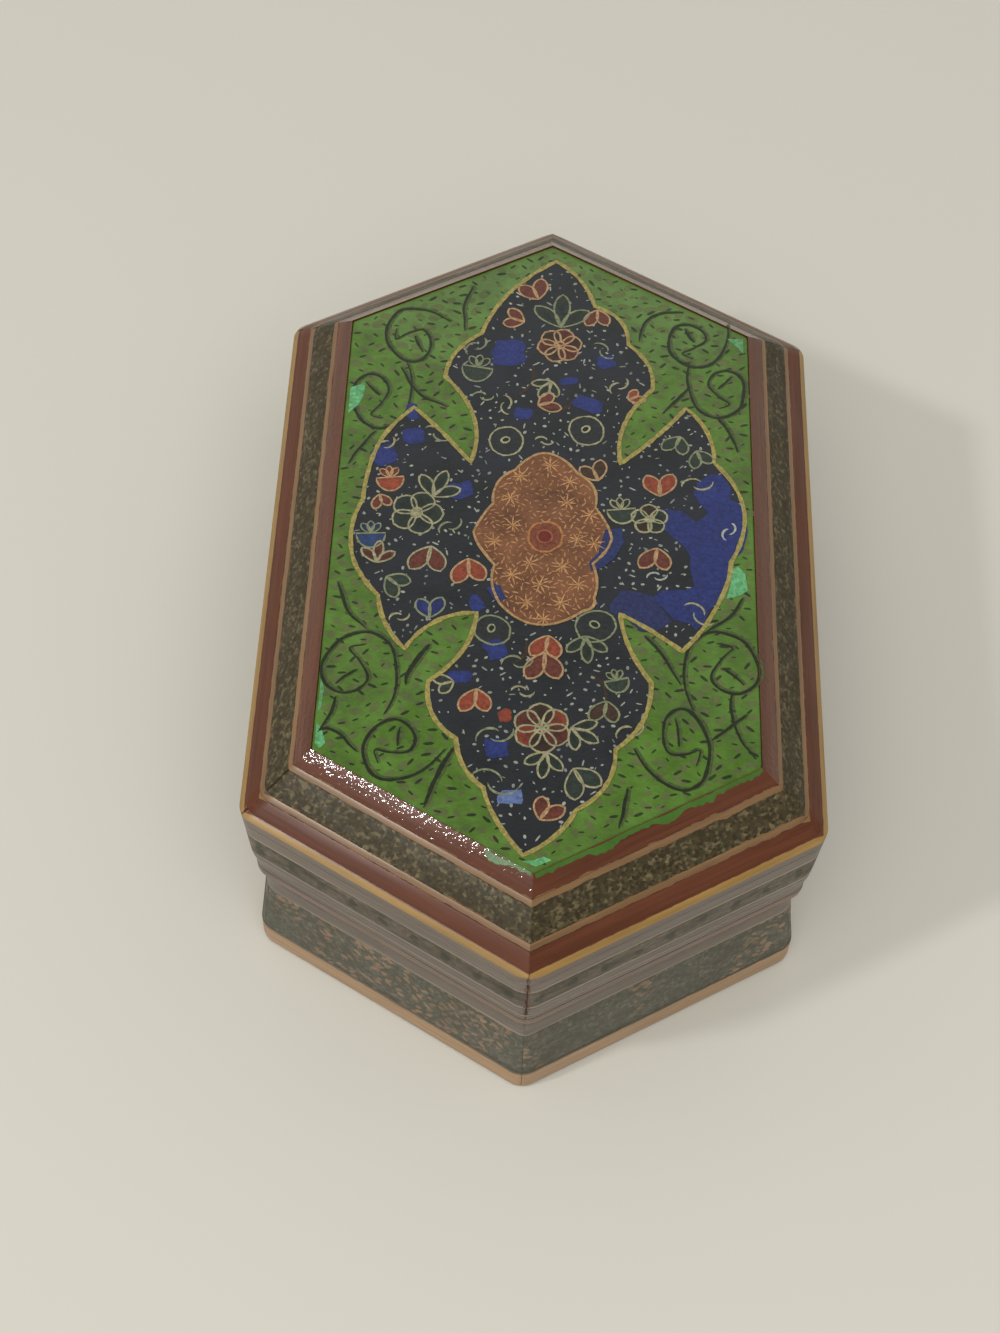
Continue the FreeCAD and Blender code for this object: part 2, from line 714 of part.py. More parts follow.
# The left boards are cut for the hinges and their nails
for boards, reliefs, holes in (
        (body_boards, body_reliefs, body_nail_holes),
        (lid_boards, lid_reliefs, lid_nail_holes)):
    whole = boards["left"]
    whole.Label = whole.Name + "_whole"
    boards["left"] = cut(whole.Name + "_cut", whole, fuse(whole.Name + "_cuts", reliefs + holes))

# Sub-parts of the body
keep(base_board, "base_board")
for side, wedge, distance, facing in SIDES:
    keep(body_boards[side], "body_board_" + side)
    keep(body_inlays[side], "body_inlay_" + side)
    keep(foot_strips[side], "foot_strip_" + side)
keep(group("waist_line", list(waist_line.values())), "waist_line")
keep(group("body_lip_line", list(body_lip_line.values())), "body_lip_line")
keep(floor_pad, "floor_pad")
keep(wall_lining, "wall_lining")

# Sub-parts of the lid
for side, wedge, distance, facing in SIDES:
    keep(lid_boards[side], "lid_board_" + side)
    keep(slope_boards[side], "slope_board_" + side)
    keep(lid_inlays[side], "lid_inlay_" + side)
keep(group("star_lines", list(upper_line.values()) + list(lower_line.values())), "star_lines")
keep(group("lid_lip_line", list(lid_lip_line.values())), "lid_lip_line")
for band_name, pieces in bands.items():
    keep(group(band_name, list(pieces.values())), band_name)
keep(panel_board, "panel_board")
keep(painted_panel, "painted_panel")
keep(lid_lining, "lid_lining")

# Hinges and nails
for part_name, piece in hinge_parts.items():
    keep(piece, part_name)
keep(group("body_hinge_nails", body_nails), "body_hinge_nails")
keep(group("lid_hinge_nails", lid_nails), "lid_hinge_nails")

doc.recompute()

for thing in doc.Objects:
    if "Invalid" in thing.State or "Error" in thing.State:
        raise RuntimeError("%s did not build: %s" % (thing.Name, thing.State))

os.makedirs("parts", exist_ok=True)
triangles = 0
for piece in nodes:
    shape = piece.Shape
    if shape.isNull() or not shape.isValid() or not shape.Solids:
        raise RuntimeError("%s has no valid solid" % piece.Label)
    triangles += len(shape.tessellate(0.05)[1])
for piece in nodes:
    piece.Shape.exportStep("parts/%s.step" % piece.Label)
print("%d sub-parts, about %d triangles" % (len(nodes), triangles))
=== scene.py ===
"""A six-sided inlaid trinket box with a painted lid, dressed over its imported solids."""

import json
import math
import random

import bmesh
import bpy
from mathutils import Matrix, Vector, noise
from mathutils.bvhtree import BVHTree

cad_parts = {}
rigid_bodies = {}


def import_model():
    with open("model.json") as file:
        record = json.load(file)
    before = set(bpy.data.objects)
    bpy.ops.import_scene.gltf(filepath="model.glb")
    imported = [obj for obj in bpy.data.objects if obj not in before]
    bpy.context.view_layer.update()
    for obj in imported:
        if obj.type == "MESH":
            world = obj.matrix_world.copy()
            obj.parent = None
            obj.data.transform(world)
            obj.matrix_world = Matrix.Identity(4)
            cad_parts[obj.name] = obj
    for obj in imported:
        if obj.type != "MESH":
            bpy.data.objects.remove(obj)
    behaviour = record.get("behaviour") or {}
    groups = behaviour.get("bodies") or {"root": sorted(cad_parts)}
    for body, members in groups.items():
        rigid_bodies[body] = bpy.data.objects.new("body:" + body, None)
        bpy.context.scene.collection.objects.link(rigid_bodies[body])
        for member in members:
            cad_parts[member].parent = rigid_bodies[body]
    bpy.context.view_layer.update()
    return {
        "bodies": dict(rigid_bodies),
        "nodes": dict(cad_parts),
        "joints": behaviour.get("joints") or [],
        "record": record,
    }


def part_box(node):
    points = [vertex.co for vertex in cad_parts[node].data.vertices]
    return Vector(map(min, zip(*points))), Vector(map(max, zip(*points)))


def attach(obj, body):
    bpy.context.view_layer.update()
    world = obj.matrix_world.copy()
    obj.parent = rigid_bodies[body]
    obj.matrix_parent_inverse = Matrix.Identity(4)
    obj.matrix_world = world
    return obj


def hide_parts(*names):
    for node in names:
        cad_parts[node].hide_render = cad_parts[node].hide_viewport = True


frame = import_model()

bl_info = {
    "name": "Inlaid Trinket Box",
    "version": (1, 0, 0),
    "blender": (4, 5, 0),
    "location": "3D View > Sidebar > Trinket Box",
    "description": "Wood, mosaic inlay, painting and stage of a six-sided trinket box",
    "category": "Add Mesh",
}

NODES = frame["nodes"]
MM = 0.001
FACINGS = {"right": 0, "far_right": 60, "far_left": 120, "left": 180, "near_left": 240, "near_right": 300}


def srgb(code):
    """Linear colour of a hexadecimal paint code."""
    channels = [int(code[place:place + 2], 16) / 255 for place in (0, 2, 4)]
    return tuple(c / 12.92 if c <= 0.04045 else ((c + 0.055) / 1.055) ** 2.4 for c in channels)


# Plan of the rim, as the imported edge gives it: every corner of the hexagon has 120 degrees
RIM_LOW, RIM_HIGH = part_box("yellow_edge")
SIDE_REACH = RIM_HIGH.x
TIP_REACH = 0.07263
CORNER_Y = (TIP_REACH - SIDE_REACH * 0.5) / math.cos(math.radians(30))
DRAW_IN = math.tan(math.radians(30))


def island_side(centre):
    """Facing, in degrees, of the side that a solid stands on."""
    best = None
    for facing in FACINGS.values():
        angle = math.radians(facing)
        reach = centre.x * math.cos(angle) + centre.y * math.sin(angle)
        reach -= SIDE_REACH if facing in (0, 180) else TIP_REACH
        if best is None or reach > best[0]:
            best = (reach, facing)
    return best[1]


def lay_grain(mesh):
    """Store each corner's place along its side, in from the rim and in height, as the attribute "side"."""
    layer = mesh.attributes.new("side", "FLOAT_VECTOR", "CORNER")
    for polygon in mesh.polygons:
        facing = island_side(polygon.center)
        angle = math.radians(facing)
        reach = SIDE_REACH if facing in (0, 180) else TIP_REACH
        outward = Vector((math.cos(angle), math.sin(angle), 0))
        along = Vector((-math.sin(angle), math.cos(angle), 0))
        for corner in polygon.loop_indices:
            point = mesh.vertices[mesh.loops[corner].vertex_index].co
            layer.data[corner].vector = (point.dot(along) + 0.01 * facing, reach - point.dot(outward), point.z)


def plain_mesh(obj, name):
    """Replace an object's live modifiers by their result."""
    graph = bpy.context.evaluated_depsgraph_get()
    mesh = bpy.data.meshes.new_from_object(obj.evaluated_get(graph))
    mesh.name = name
    obj.modifiers.clear()
    obj.data = mesh
    return obj


def round_side_corners(bm):
    """Wear the four side corners of a piece round, less so toward the panel."""
    radius = bpy.context.scene.trinket_sizes.corner
    reach = radius * DRAW_IN
    steps = 4
    for sx in (-1, 1):
        for sy in (-1, 1):
            corner = Vector((SIDE_REACH * sx, CORNER_Y * sy, 0))
            across = Vector((-0.5 * sx, math.cos(math.radians(30)) * sy, 0))
            for step in [-number for number in range(1, steps + 1)] + list(range(1, steps + 1)):
                near = [f for f in bm.faces if any((v.co.xy - corner.xy).length < 0.02 for v in f.verts)]
                shapes = near + list({e for f in near for e in f.edges}) + list({v for f in near for v in f.verts})
                bmesh.ops.bisect_plane(
                    bm, geom=shapes, dist=1e-7, plane_no=across,
                    plane_co=corner + across * (reach * step / steps * math.cos(math.radians(30))))
    for vertex in bm.verts:
        x, y = abs(vertex.co.x), abs(vertex.co.y)
        upright = SIDE_REACH - x
        slanting = TIP_REACH - 0.5 * x - math.cos(math.radians(30)) * y
        inset = min(upright, slanting)
        here = radius * min(1.0, max(0.0, 1.0 - (inset - 0.0045) / 0.005))
        corner = Vector((SIDE_REACH - inset, CORNER_Y - inset * DRAW_IN))
        if upright <= slanting:
            onward, inward = Vector((0, -1)), Vector((-1, 0))
        else:
            onward = Vector((-math.cos(math.radians(30)), 0.5))
            inward = Vector((-0.5, -math.cos(math.radians(30))))
        ahead = (Vector((x, y)) - corner).dot(onward)
        span = here * DRAW_IN
        if here > 0 and -1e-6 < ahead < span:
            turn = math.radians(30) * (span - ahead) / span
            moved = Vector((x, y)) + onward * (span - here * math.sin(turn) - ahead)
            moved += inward * here * (1 - math.cos(turn))
            vertex.co.x = math.copysign(moved.x, vertex.co.x)
            vertex.co.y = math.copysign(moved.y, vertex.co.y)


def softened(node, width, segments=2):
    """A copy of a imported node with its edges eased, in place of the node."""
    mesh = NODES[node].data.copy()
    mesh.materials.clear()
    bm = bmesh.new()
    bm.from_mesh(mesh)
    bmesh.ops.remove_doubles(bm, verts=bm.verts, dist=2e-6)
    bmesh.ops.dissolve_limit(bm, angle_limit=math.radians(0.4), verts=bm.verts, edges=bm.edges)
    round_side_corners(bm)
    bm.to_mesh(mesh)
    bm.free()
    obj = bpy.data.objects.new(node + "_eased", mesh)
    bpy.context.scene.collection.objects.link(obj)
    bevel = obj.modifiers.new("Ease", "BEVEL")
    bevel.width = width
    bevel.segments = segments
    bevel.limit_method = "ANGLE"
    bevel.angle_limit = math.radians(28)
    plain_mesh(obj, node + "_eased")
    obj.data.shade_smooth()
    obj.data.set_sharp_from_angle(angle=math.radians(26))
    return obj


def settle(piece, body, slot_name, material, *replaced):
    """Give a finished piece its material and body, and hide the imported nodes it stands for; the slot name is not
    used.
    """
    piece.data.materials.clear()
    piece.data.materials.append(material)
    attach(piece, body)
    if replaced:
        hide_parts(*replaced)
    return piece


class Finish:
    """A material whose nodes are added one by one."""

    def __init__(self, name, roughness=0.5, specular=0.5, coat=0.0, metallic=0.0):
        self.material = bpy.data.materials.new(name)
        self.material.use_nodes = True
        self.tree = self.material.node_tree
        self.shader = self.tree.nodes["Principled BSDF"]
        self.shader.inputs["Roughness"].default_value = roughness
        self.shader.inputs["Specular IOR Level"].default_value = specular
        self.shader.inputs["Coat Weight"].default_value = coat
        self.shader.inputs["Metallic"].default_value = metallic

    def add(self, kind, **settings):
        node = self.tree.nodes.new(kind)
        for key, value in settings.items():
            setattr(node, key, value)
        return node

    def link(self, source, target):
        if isinstance(source, bpy.types.NodeSocket):
            self.tree.links.new(source, target)
        else:
            target.default_value = source

    def object_space(self):
        return self.add("ShaderNodeTexCoord").outputs["Object"]

    def attribute(self, name, output="Vector"):
        return self.add("ShaderNodeAttribute", attribute_name=name).outputs[output]

    def scaled(self, vector, scale, location=(0, 0, 0)):
        node = self.add("ShaderNodeMapping")
        self.link(vector, node.inputs["Vector"])
        node.inputs["Scale"].default_value = scale
        node.inputs["Location"].default_value = location
        return node.outputs["Vector"]

    def noise(self, vector, scale, detail=3.0, roughness=0.5, distortion=0.0):
        node = self.add("ShaderNodeTexNoise")
        self.link(vector, node.inputs["Vector"])
        node.inputs["Scale"].default_value = scale
        node.inputs["Detail"].default_value = detail
        node.inputs["Roughness"].default_value = roughness
        node.inputs["Distortion"].default_value = distortion
        return node.outputs["Fac"]

    def cells(self, vector, scale, output="Color", feature="F1", randomness=1.0):
        node = self.add("ShaderNodeTexVoronoi", feature=feature)
        self.link(vector, node.inputs["Vector"])
        node.inputs["Scale"].default_value = scale
        node.inputs["Randomness"].default_value = randomness
        return node.outputs[output]

    def band(self, value, low, high, to_low=0.0, to_high=1.0):
        node = self.add("ShaderNodeMapRange")
        self.link(value, node.inputs["Value"])
        for key, number in (("From Min", low), ("From Max", high), ("To Min", to_low), ("To Max", to_high)):
            node.inputs[key].default_value = number
        return node.outputs["Result"]

    def math(self, operation, first, second=0.0):
        node = self.add("ShaderNodeMath", operation=operation)
        self.link(first, node.inputs[0])
        self.link(second, node.inputs[1])
        return node.outputs[0]

    def mix(self, factor, first, second, blend="MIX"):
        node = self.add("ShaderNodeMix", data_type="RGBA", blend_type=blend)
        self.link(factor, node.inputs["Factor"])
        for socket, colour in ((node.inputs["A"], first), (node.inputs["B"], second)):
            if isinstance(colour, tuple) and len(colour) == 3:
                colour = colour + (1.0,)
            self.link(colour, socket)
        return node.outputs["Result"]

    def ramp(self, value, stops):
        node = self.add("ShaderNodeValToRGB")
        self.link(value, node.inputs["Fac"])
        ramp = node.color_ramp
        while len(ramp.elements) < len(stops):
            ramp.elements.new(0.5)
        for element, (place, colour) in zip(ramp.elements, stops):
            element.position = place
            element.color = tuple(colour) + (1.0,)
        return node.outputs["Color"]

    def split(self, vector):
        node = self.add("ShaderNodeSeparateXYZ")
        self.link(vector, node.inputs[0])
        return node.outputs

    def joined(self, *values):
        node = self.add("ShaderNodeCombineXYZ")
        for value, socket in zip(values, node.inputs):
            self.link(value, socket)
        return node.outputs[0]

    def chance(self, vector):
        """One random value for each whole-number place."""
        node = self.add("ShaderNodeTexWhiteNoise")
        self.link(vector, node.inputs["Vector"])
        return node.outputs["Value"]

    def sum_of(self, *terms):
        """Sum of (value, factor) terms."""
        total = None
        for value, factor in terms:
            part = self.math("MULTIPLY", value, factor)
            total = part if total is None else self.math("ADD", total, part)
        return total

    def colour(self, source):
        self.link(source, self.shader.inputs["Base Color"])

    def roughness(self, source):
        self.link(source, self.shader.inputs["Roughness"])

    def bump(self, height, distance, strength=1.0):
        node = self.add("ShaderNodeBump")
        node.inputs["Distance"].default_value = distance
        node.inputs["Strength"].default_value = strength
        self.link(height, node.inputs["Height"])
        self.link(node.outputs["Normal"], self.shader.inputs["Normal"])


def ragged(finish, colour, value, tint, low=None, high=None, sway=0.0008):
    """Tint what lies below low or above high, with a border that wanders by part of sway."""
    wander = finish.noise(finish.scaled(finish.attribute("side"), (420, 60, 60)), 1.0, 3.0, 0.6)
    shifted = finish.sum_of((value, 1.0), (finish.math("SUBTRACT", wander, 0.5), sway))
    if low is not None:
        colour = finish.mix(finish.band(shifted, low - 0.00004, low + 0.00004, 1.0, 0.0), colour, tint)
    if high is not None:
        colour = finish.mix(finish.band(shifted, high - 0.00004, high + 0.00004), colour, tint)
    return colour


def framed(finish, colour, inset, borders):
    """Ragged borders of the frame: (tint, low, high) by distance from the middle of its mosaic."""
    away = finish.math("ABSOLUTE", finish.math("SUBTRACT", inset, FRAME_MIDDLE))
    for tint, low, high in borders:
        colour = ragged(finish, colour, away, tint, low, high)
    return colour


def wood(name, base, dark, light, roughness=0.42, coat=0.2, grain=1.0, borders=(), frame=(), speckle=False,
         specular=0.5):
    """Lacquered wood whose grain runs along its side of the box.

    borders lists (axis, tint, low, high, sway) and frame (tint, low, high), the edges of neighbours' tints.
    """
    finish = Finish(name, roughness=roughness, specular=specular, coat=coat)
    finish.shader.inputs["Coat Roughness"].default_value = 0.22
    side = finish.attribute("side")
    place = finish.split(side)
    streaks = finish.noise(finish.scaled(side, (60, 900, 900)), 1.0, 5.0, 0.6, 0.4)
    bands = finish.noise(finish.scaled(side, (14, 620, 620)), 1.0, 3.0, 0.7, 0.2)
    patches = finish.noise(finish.scaled(side, (45, 180, 180)), 1.0, 3.0, 0.55)
    specks = finish.noise(side, 1900.0, 2.0, 0.5)
    colour = finish.mix(finish.band(streaks, 0.3, 0.75, 0.0, grain), base, dark)
    colour = finish.mix(finish.band(bands, 0.5, 0.68, 0.0, 0.7 * grain), colour, light)
    colour = finish.mix(finish.band(patches, 0.5, 0.8, 0.0, 0.6), colour, light)
    colour = finish.mix(finish.band(specks, 0.62, 0.85, 0.0, 0.35), colour, dark)
    for axis, tint, low, high, sway in borders:
        colour = ragged(finish, colour, place[axis], tint, low, high, sway)
    colour = framed(finish, colour, place[1], frame)
    finish.colour(colour)
    finish.roughness(finish.band(patches, 0.3, 0.7, roughness - 0.08, roughness + 0.12))
    finish.bump(streaks, 0.00006, 0.6)
    if speckle:
        finish.shader.inputs["Coat Roughness"].default_value = 0.09
        dents = finish.add("ShaderNodeBump")
        dents.inputs["Distance"].default_value = 0.0001
        finish.link(finish.noise(finish.object_space(), 1150.0, 1.0, 0.5), dents.inputs["Height"])
        finish.link(dents.outputs["Normal"], finish.shader.inputs["Coat Normal"])
    return finish.material


def mosaic(name, across, tile, tones, fleck, grime, fleck_share, star=0.0, warm=None, frame=(),
           roughness=0.45):
    """Khatam inlay: a lattice of small triangles whose tones repeat in stars, under worn lacquer.

    across gives the shares of the inward and of the upward place that run across the strip.
    """
    finish = Finish(name, roughness=roughness, specular=0.2)
    finish.shader.inputs["Coat Roughness"].default_value = 0.25
    side = finish.attribute("side")
    wobble = finish.math("SUBTRACT", finish.noise(side, 260.0, 2.0), 0.5)
    place = finish.split(side)
    along = finish.sum_of((place[0], 1.0), (wobble, tile * 0.9))
    rise = finish.sum_of((place[1], across[0]), (place[2], across[1]), (wobble, tile * 0.7))
    lines = (
        finish.math("FLOOR", finish.math("DIVIDE", along, tile)),
        finish.math("FLOOR", finish.math("DIVIDE", finish.sum_of((along, 0.5), (rise, 0.866)), tile)),
        finish.math("FLOOR", finish.math("DIVIDE", finish.sum_of((along, -0.5), (rise, 0.866)), tile)),
    )
    pick = finish.chance(finish.joined(*lines))
    colour = finish.ramp(pick, tones)
    colour.node.color_ramp.interpolation = "CONSTANT"
    if star:
        phase = finish.math("MULTIPLY", along, 2 * math.pi / star)
        torn = finish.math("SUBTRACT", finish.noise(finish.scaled(side, (700, 1100, 1100)), 1.0, 2.0, 0.5), 0.5)
        low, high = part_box("lid_inlay_right")
        away = finish.math("DIVIDE", finish.math("SUBTRACT", place[2], (low.z + high.z) / 2), 0.0021)
        swell = finish.sum_of((finish.math("COSINE", phase), 1.0), (wobble, 1.2), (torn, 1.9),
                              (finish.math("MULTIPLY", away, away), -0.5))
        colour = finish.mix(finish.band(swell, 0.6, 0.78, 0.0, 0.92), colour, grime)
    clouds = finish.noise(finish.scaled(side, (90, 300, 300)), 1.0, 4.0, 0.6)
    if warm is not None:
        patches = finish.noise(finish.scaled(side, (52, 10, 40)), 1.0, 2.0, 0.4)
        patches = finish.band(patches, 0.51, 0.55, 0.02, 0.9)
        for slant in (-0.6, 0.6):
            ways = finish.joined(finish.sum_of((place[0], 400.0), (place[2], 400.0 * slant)),
                                 finish.sum_of((place[2], 760.0), (place[0], -760.0 * slant)), slant)
            near = finish.band(finish.cells(ways, 1.0, "Distance"), 0.34, 0.44, 1.0, 0.0)
            chosen = finish.band(finish.split(finish.cells(ways, 1.0))[0], 0.42, 0.46)
            share = finish.math("MULTIPLY", finish.math("MULTIPLY", near, chosen), patches)
            colour = finish.mix(share, colour, warm)
    glints = finish.noise(finish.scaled(side, (900, 1100, 1100)), 1.0, 1.0, 0.4, 0.3)
    spots = finish.math("MULTIPLY", finish.band(glints, 0.56, 0.7), finish.band(clouds, 0.3, 0.6, 0.3, 1.0))
    colour = finish.mix(finish.math("MULTIPLY", spots, fleck_share), colour, fleck)
    colour = finish.mix(finish.band(clouds, 0.4, 0.7, 0.1, 0.75), colour, grime)
    fine = finish.noise(side, 2600.0, 2.0, 0.5)
    colour = finish.mix(finish.band(fine, 0.35, 0.75, 0.0, 0.3), colour, tuple(c * 0.5 for c in grime))
    colour = framed(finish, colour, place[1], frame)
    finish.colour(colour)
    finish.roughness(finish.band(clouds, 0.3, 0.7, roughness - 0.1, roughness + 0.12))
    finish.bump(pick, 0.00003, 0.5)
    return finish.material


# Painting of the lid's panel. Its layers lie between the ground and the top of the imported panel.
PANEL_LOW, PANEL_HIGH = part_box("painted_panel")
PANEL_TOP = PANEL_HIGH.z / MM
PAINT_DEPTH = 0.26
GROUND = PANEL_TOP - PAINT_DEPTH
MEDALLION = [
    (0.6, 65.7, 1.3), (8.6, 54.2, 1.8), (15.2, 44.7, 1.6), (19.4, 33.6, -2.2), (13.6, 15.7, -0.7), (25.7, 29.6, 1.6),
    (30.8, 16.9, 4.0), (33.1, -5.7, 2.0), (24.4, -25.1, -0.2), (13.7, -17.9, -1.0), (19.1, -32.0, 2.0),
    (13.0, -45.5, 1.9), (6.6, -57.7, 1.2), (-1.8, -66.4, 0.8), (-8.6, -54.3, 1.4), (-13.7, -44.7, 1.9),
    (-18.8, -33.4, -1.7), (-11.1, -18.9, -2.2), (-23.3, -27.1, 1.0), (-28.6, -15.7, 3.4), (-32.7, 5.2, 2.5),
    (-24.8, 27.1, 0.3), (-13.7, 14.8, -2.8), (-19.3, 35.1, 1.7), (-12.8, 46.1, 2.2),
]
SHAMSA = [
    (-5.6, 13.2, 4.3), (5.6, 13.2, 1.5), (9.2, 5.2, 0.4), (12.0, -1.4, 0.5), (9.0, -7.2, 0.6), (9.0, -14.6, 1.0),
    (7.2, -17.6, 3.6), (-7.4, -16.6, 0.8), (-8.6, -8.4, 0.5), (-12.5, -1.4, 0.4), (-9.2, 5.2, 1.5),
]
# One curl of a scroll within a circle of radius one, and the stroke at its heart
CURL = [
    (0.81, -1.48), (1.03, -0.81), (1.02, 0.10), (0.74, 0.68), (0.10, 0.95), (-0.61, 0.70), (-1.00, -0.03),
    (-0.92, -0.61), (-0.48, -0.90), (0.03, -0.81), (0.29, -0.42), (0.03, 0.10), (-0.29, 0.48), (0.15, 0.58),
]
CURL_HEART = [(-0.03, -0.19), (-0.35, -0.42), (-0.61, -0.65)]
# Middle, radii, turn in degrees and hand of each curl
CURLS = [
    (-31.0, -30.3, 6.2, 6.9, 0, 1), (-24.2, -47.5, 5.3, 5.7, 122, -1), (24.5, -45.2, 4.9, 7.6, -119, 1),
    (31.3, -27.2, 6.2, 6.8, 0, -1), (27.4, 45.0, 5.1, 5.4, 159, -1), (31.9, 33.3, 5.0, 6.0, -169, 1),
    (-26.6, 45.2, 4.9, 6.4, 81, 1), (-31.2, 28.4, 5.2, 6.9, 179, -1),
]
STEMS = [
    [(-35.9, -13.3), (-33.6, -19.3), (-30.3, -23.1)], [(-34.3, -37.0), (-34.9, -40.3), (-36.9, -44.4)],
    [(-36.9, -44.2), (-35.4, -43.6), (-32.9, -44.9), (-29.9, -48.0)], [(-14.0, -46.3), (-16.6, -52.5), (-18.3, -58.2)],
    [(-19.0, -25.8), (-22.2, -31.1), (-22.6, -34.4)], [(18.0, -22.0), (21.1, -26.0), (24.3, -32.2)],
    [(35.5, -13.3), (32.7, -17.5), (27.7, -21.7)], [(32.8, -33.2), (32.9, -38.0), (34.2, -42.2), (36.6, -46.4)],
    [(35.5, -37.4), (32.2, -40.4), (29.4, -42.9)], [(15.1, -52.8), (14.5, -57.7), (13.8, -60.6)],
    [(26.5, 34.9), (24.0, 31.5), (21.3, 28.0)], [(31.4, 27.9), (34.0, 23.5), (35.2, 19.6)],
    [(16.9, 45.9), (18.3, 50.8), (21.4, 53.1), (25.5, 53.6)], [(-15.1, 58.2), (-16.7, 52.5), (-16.2, 46.5)],
    [(-28.0, 36.9), (-24.1, 30.7), (-18.6, 27.6)], [(-31.4, 21.2), (-34.5, 16.6), (-36.0, 13.2)],
]
SHAMSA_BLUE = [(11.0, 0.4), (14.0, 1.1), (14.4, -2.4), (12.8, -5.7), (10.7, -7.9), (8.6, -9.0), (8.2, -6.9), (9.8, -4.8)]
LOBE_BLUE = [
    (27.5, 12.1), (29.9, 14.1), (32.1, 14.2), (33.5, 11.3), (33.8, 8.5), (35.6, 7.3), (36.4, 4.4), (36.5, 0.7),
    (35.5, -3.2), (33.4, -5.4), (33.1, -9.3), (32.0, -12.7), (29.4, -16.1), (28.3, -19.2), (27.1, -20.5),
    (25.9, -19.3), (23.2, -18.5), (21.1, -16.0), (19.5, -13.8), (21.2, -12.2), (25.3, -12.0), (26.8, -11.2),
    (26.2, -7.6), (26.0, -4.5), (25.0, -2.4), (21.2, 1.5), (20.2, 4.1), (21.2, 5.8), (24.6, 5.4), (27.2, 2.9),
    (29.4, 5.1), (27.6, 7.7),
]
LOBE_NAVY = [
    (11.8, -16.0), (14.1, -12.8), (17.0, -12.9), (19.5, -13.8), (21.5, -17.0), (22.8, -19.0), (19.5, -21.6),
    (17.0, -21.0), (14.5, -18.4), (12.0, -17.5),
]


def bowed(corners, spread=0.7):
    """Points of a closed outline whose stretches bow to their left by the third number of each corner."""
    points = []
    for number, (x, y, sag) in enumerate(corners):
        end_x, end_y, _ = corners[(number + 1) % len(corners)]
        reach = math.hypot(end_x - x, end_y - y)
        steps = max(3, int(reach / spread))
        for step in range(steps):
            share = step / steps
            lift = 4 * sag * share * (1 - share)
            points.append((x + (end_x - x) * share - (end_y - y) / reach * lift,
                           y + (end_y - y) * share + (end_x - x) / reach * lift))
    return points


def by_hand(points, amount, scale=0.09, seed=0.0):
    """Points moved a little, as an unsteady hand would place them."""
    moved = []
    for x, y in points:
        shift = noise.noise_vector(Vector((x * scale, y * scale, seed)))
        moved.append((x + shift.x * amount, y + shift.y * amount))
    return moved


def curve_through(points, steps=6, closed=False):
    """A smooth line through points."""
    count = len(points)
    line = []
    stretches = count if closed else count - 1
    for number in range(stretches):
        picks = []
        for offset in (-1, 0, 1, 2):
            place = number + offset
            picks.append(points[place % count] if closed else points[min(max(place, 0), count - 1)])
        for step in range(steps):
            t = step / steps
            line.append(tuple(
                0.5 * (2 * b + (c - a) * t + (2 * a - 5 * b + 4 * c - d) * t * t
                       + (3 * b - a - 3 * c + d) * t * t * t)
                for a, b, c, d in zip(*picks)))
    if not closed:
        line.append(tuple(points[-1]))
    return line


def petal_outline(length, width, lean=0.0, steps=12):
    """A leaf shape from the origin along X, as a closed outline."""
    upper = []
    lower = []
    for step in range(steps + 1):
        share = step / steps
        half = width / 2 * math.sin(math.pi * share ** 1.35) ** 0.62 if 0 < share < 1 else 0.0
        bend = lean * length * share * share
        upper.append((length * share, bend + half))
        lower.append((length * share, bend - half))
    return lower + upper[-2:0:-1]


def oval_outline(width, height, steps=18):
    """An oval about the origin."""
    return [(width * math.cos(2 * math.pi * s / steps), height * math.sin(2 * math.pi * s / steps))
            for s in range(steps)]


def placed(points, x, y, degrees=0.0, scale=1.0):
    """Points turned, scaled and moved."""
    c, s = math.cos(math.radians(degrees)) * scale, math.sin(math.radians(degrees)) * scale
    return [(x + px * c - py * s, y + px * s + py * c) for px, py in points]


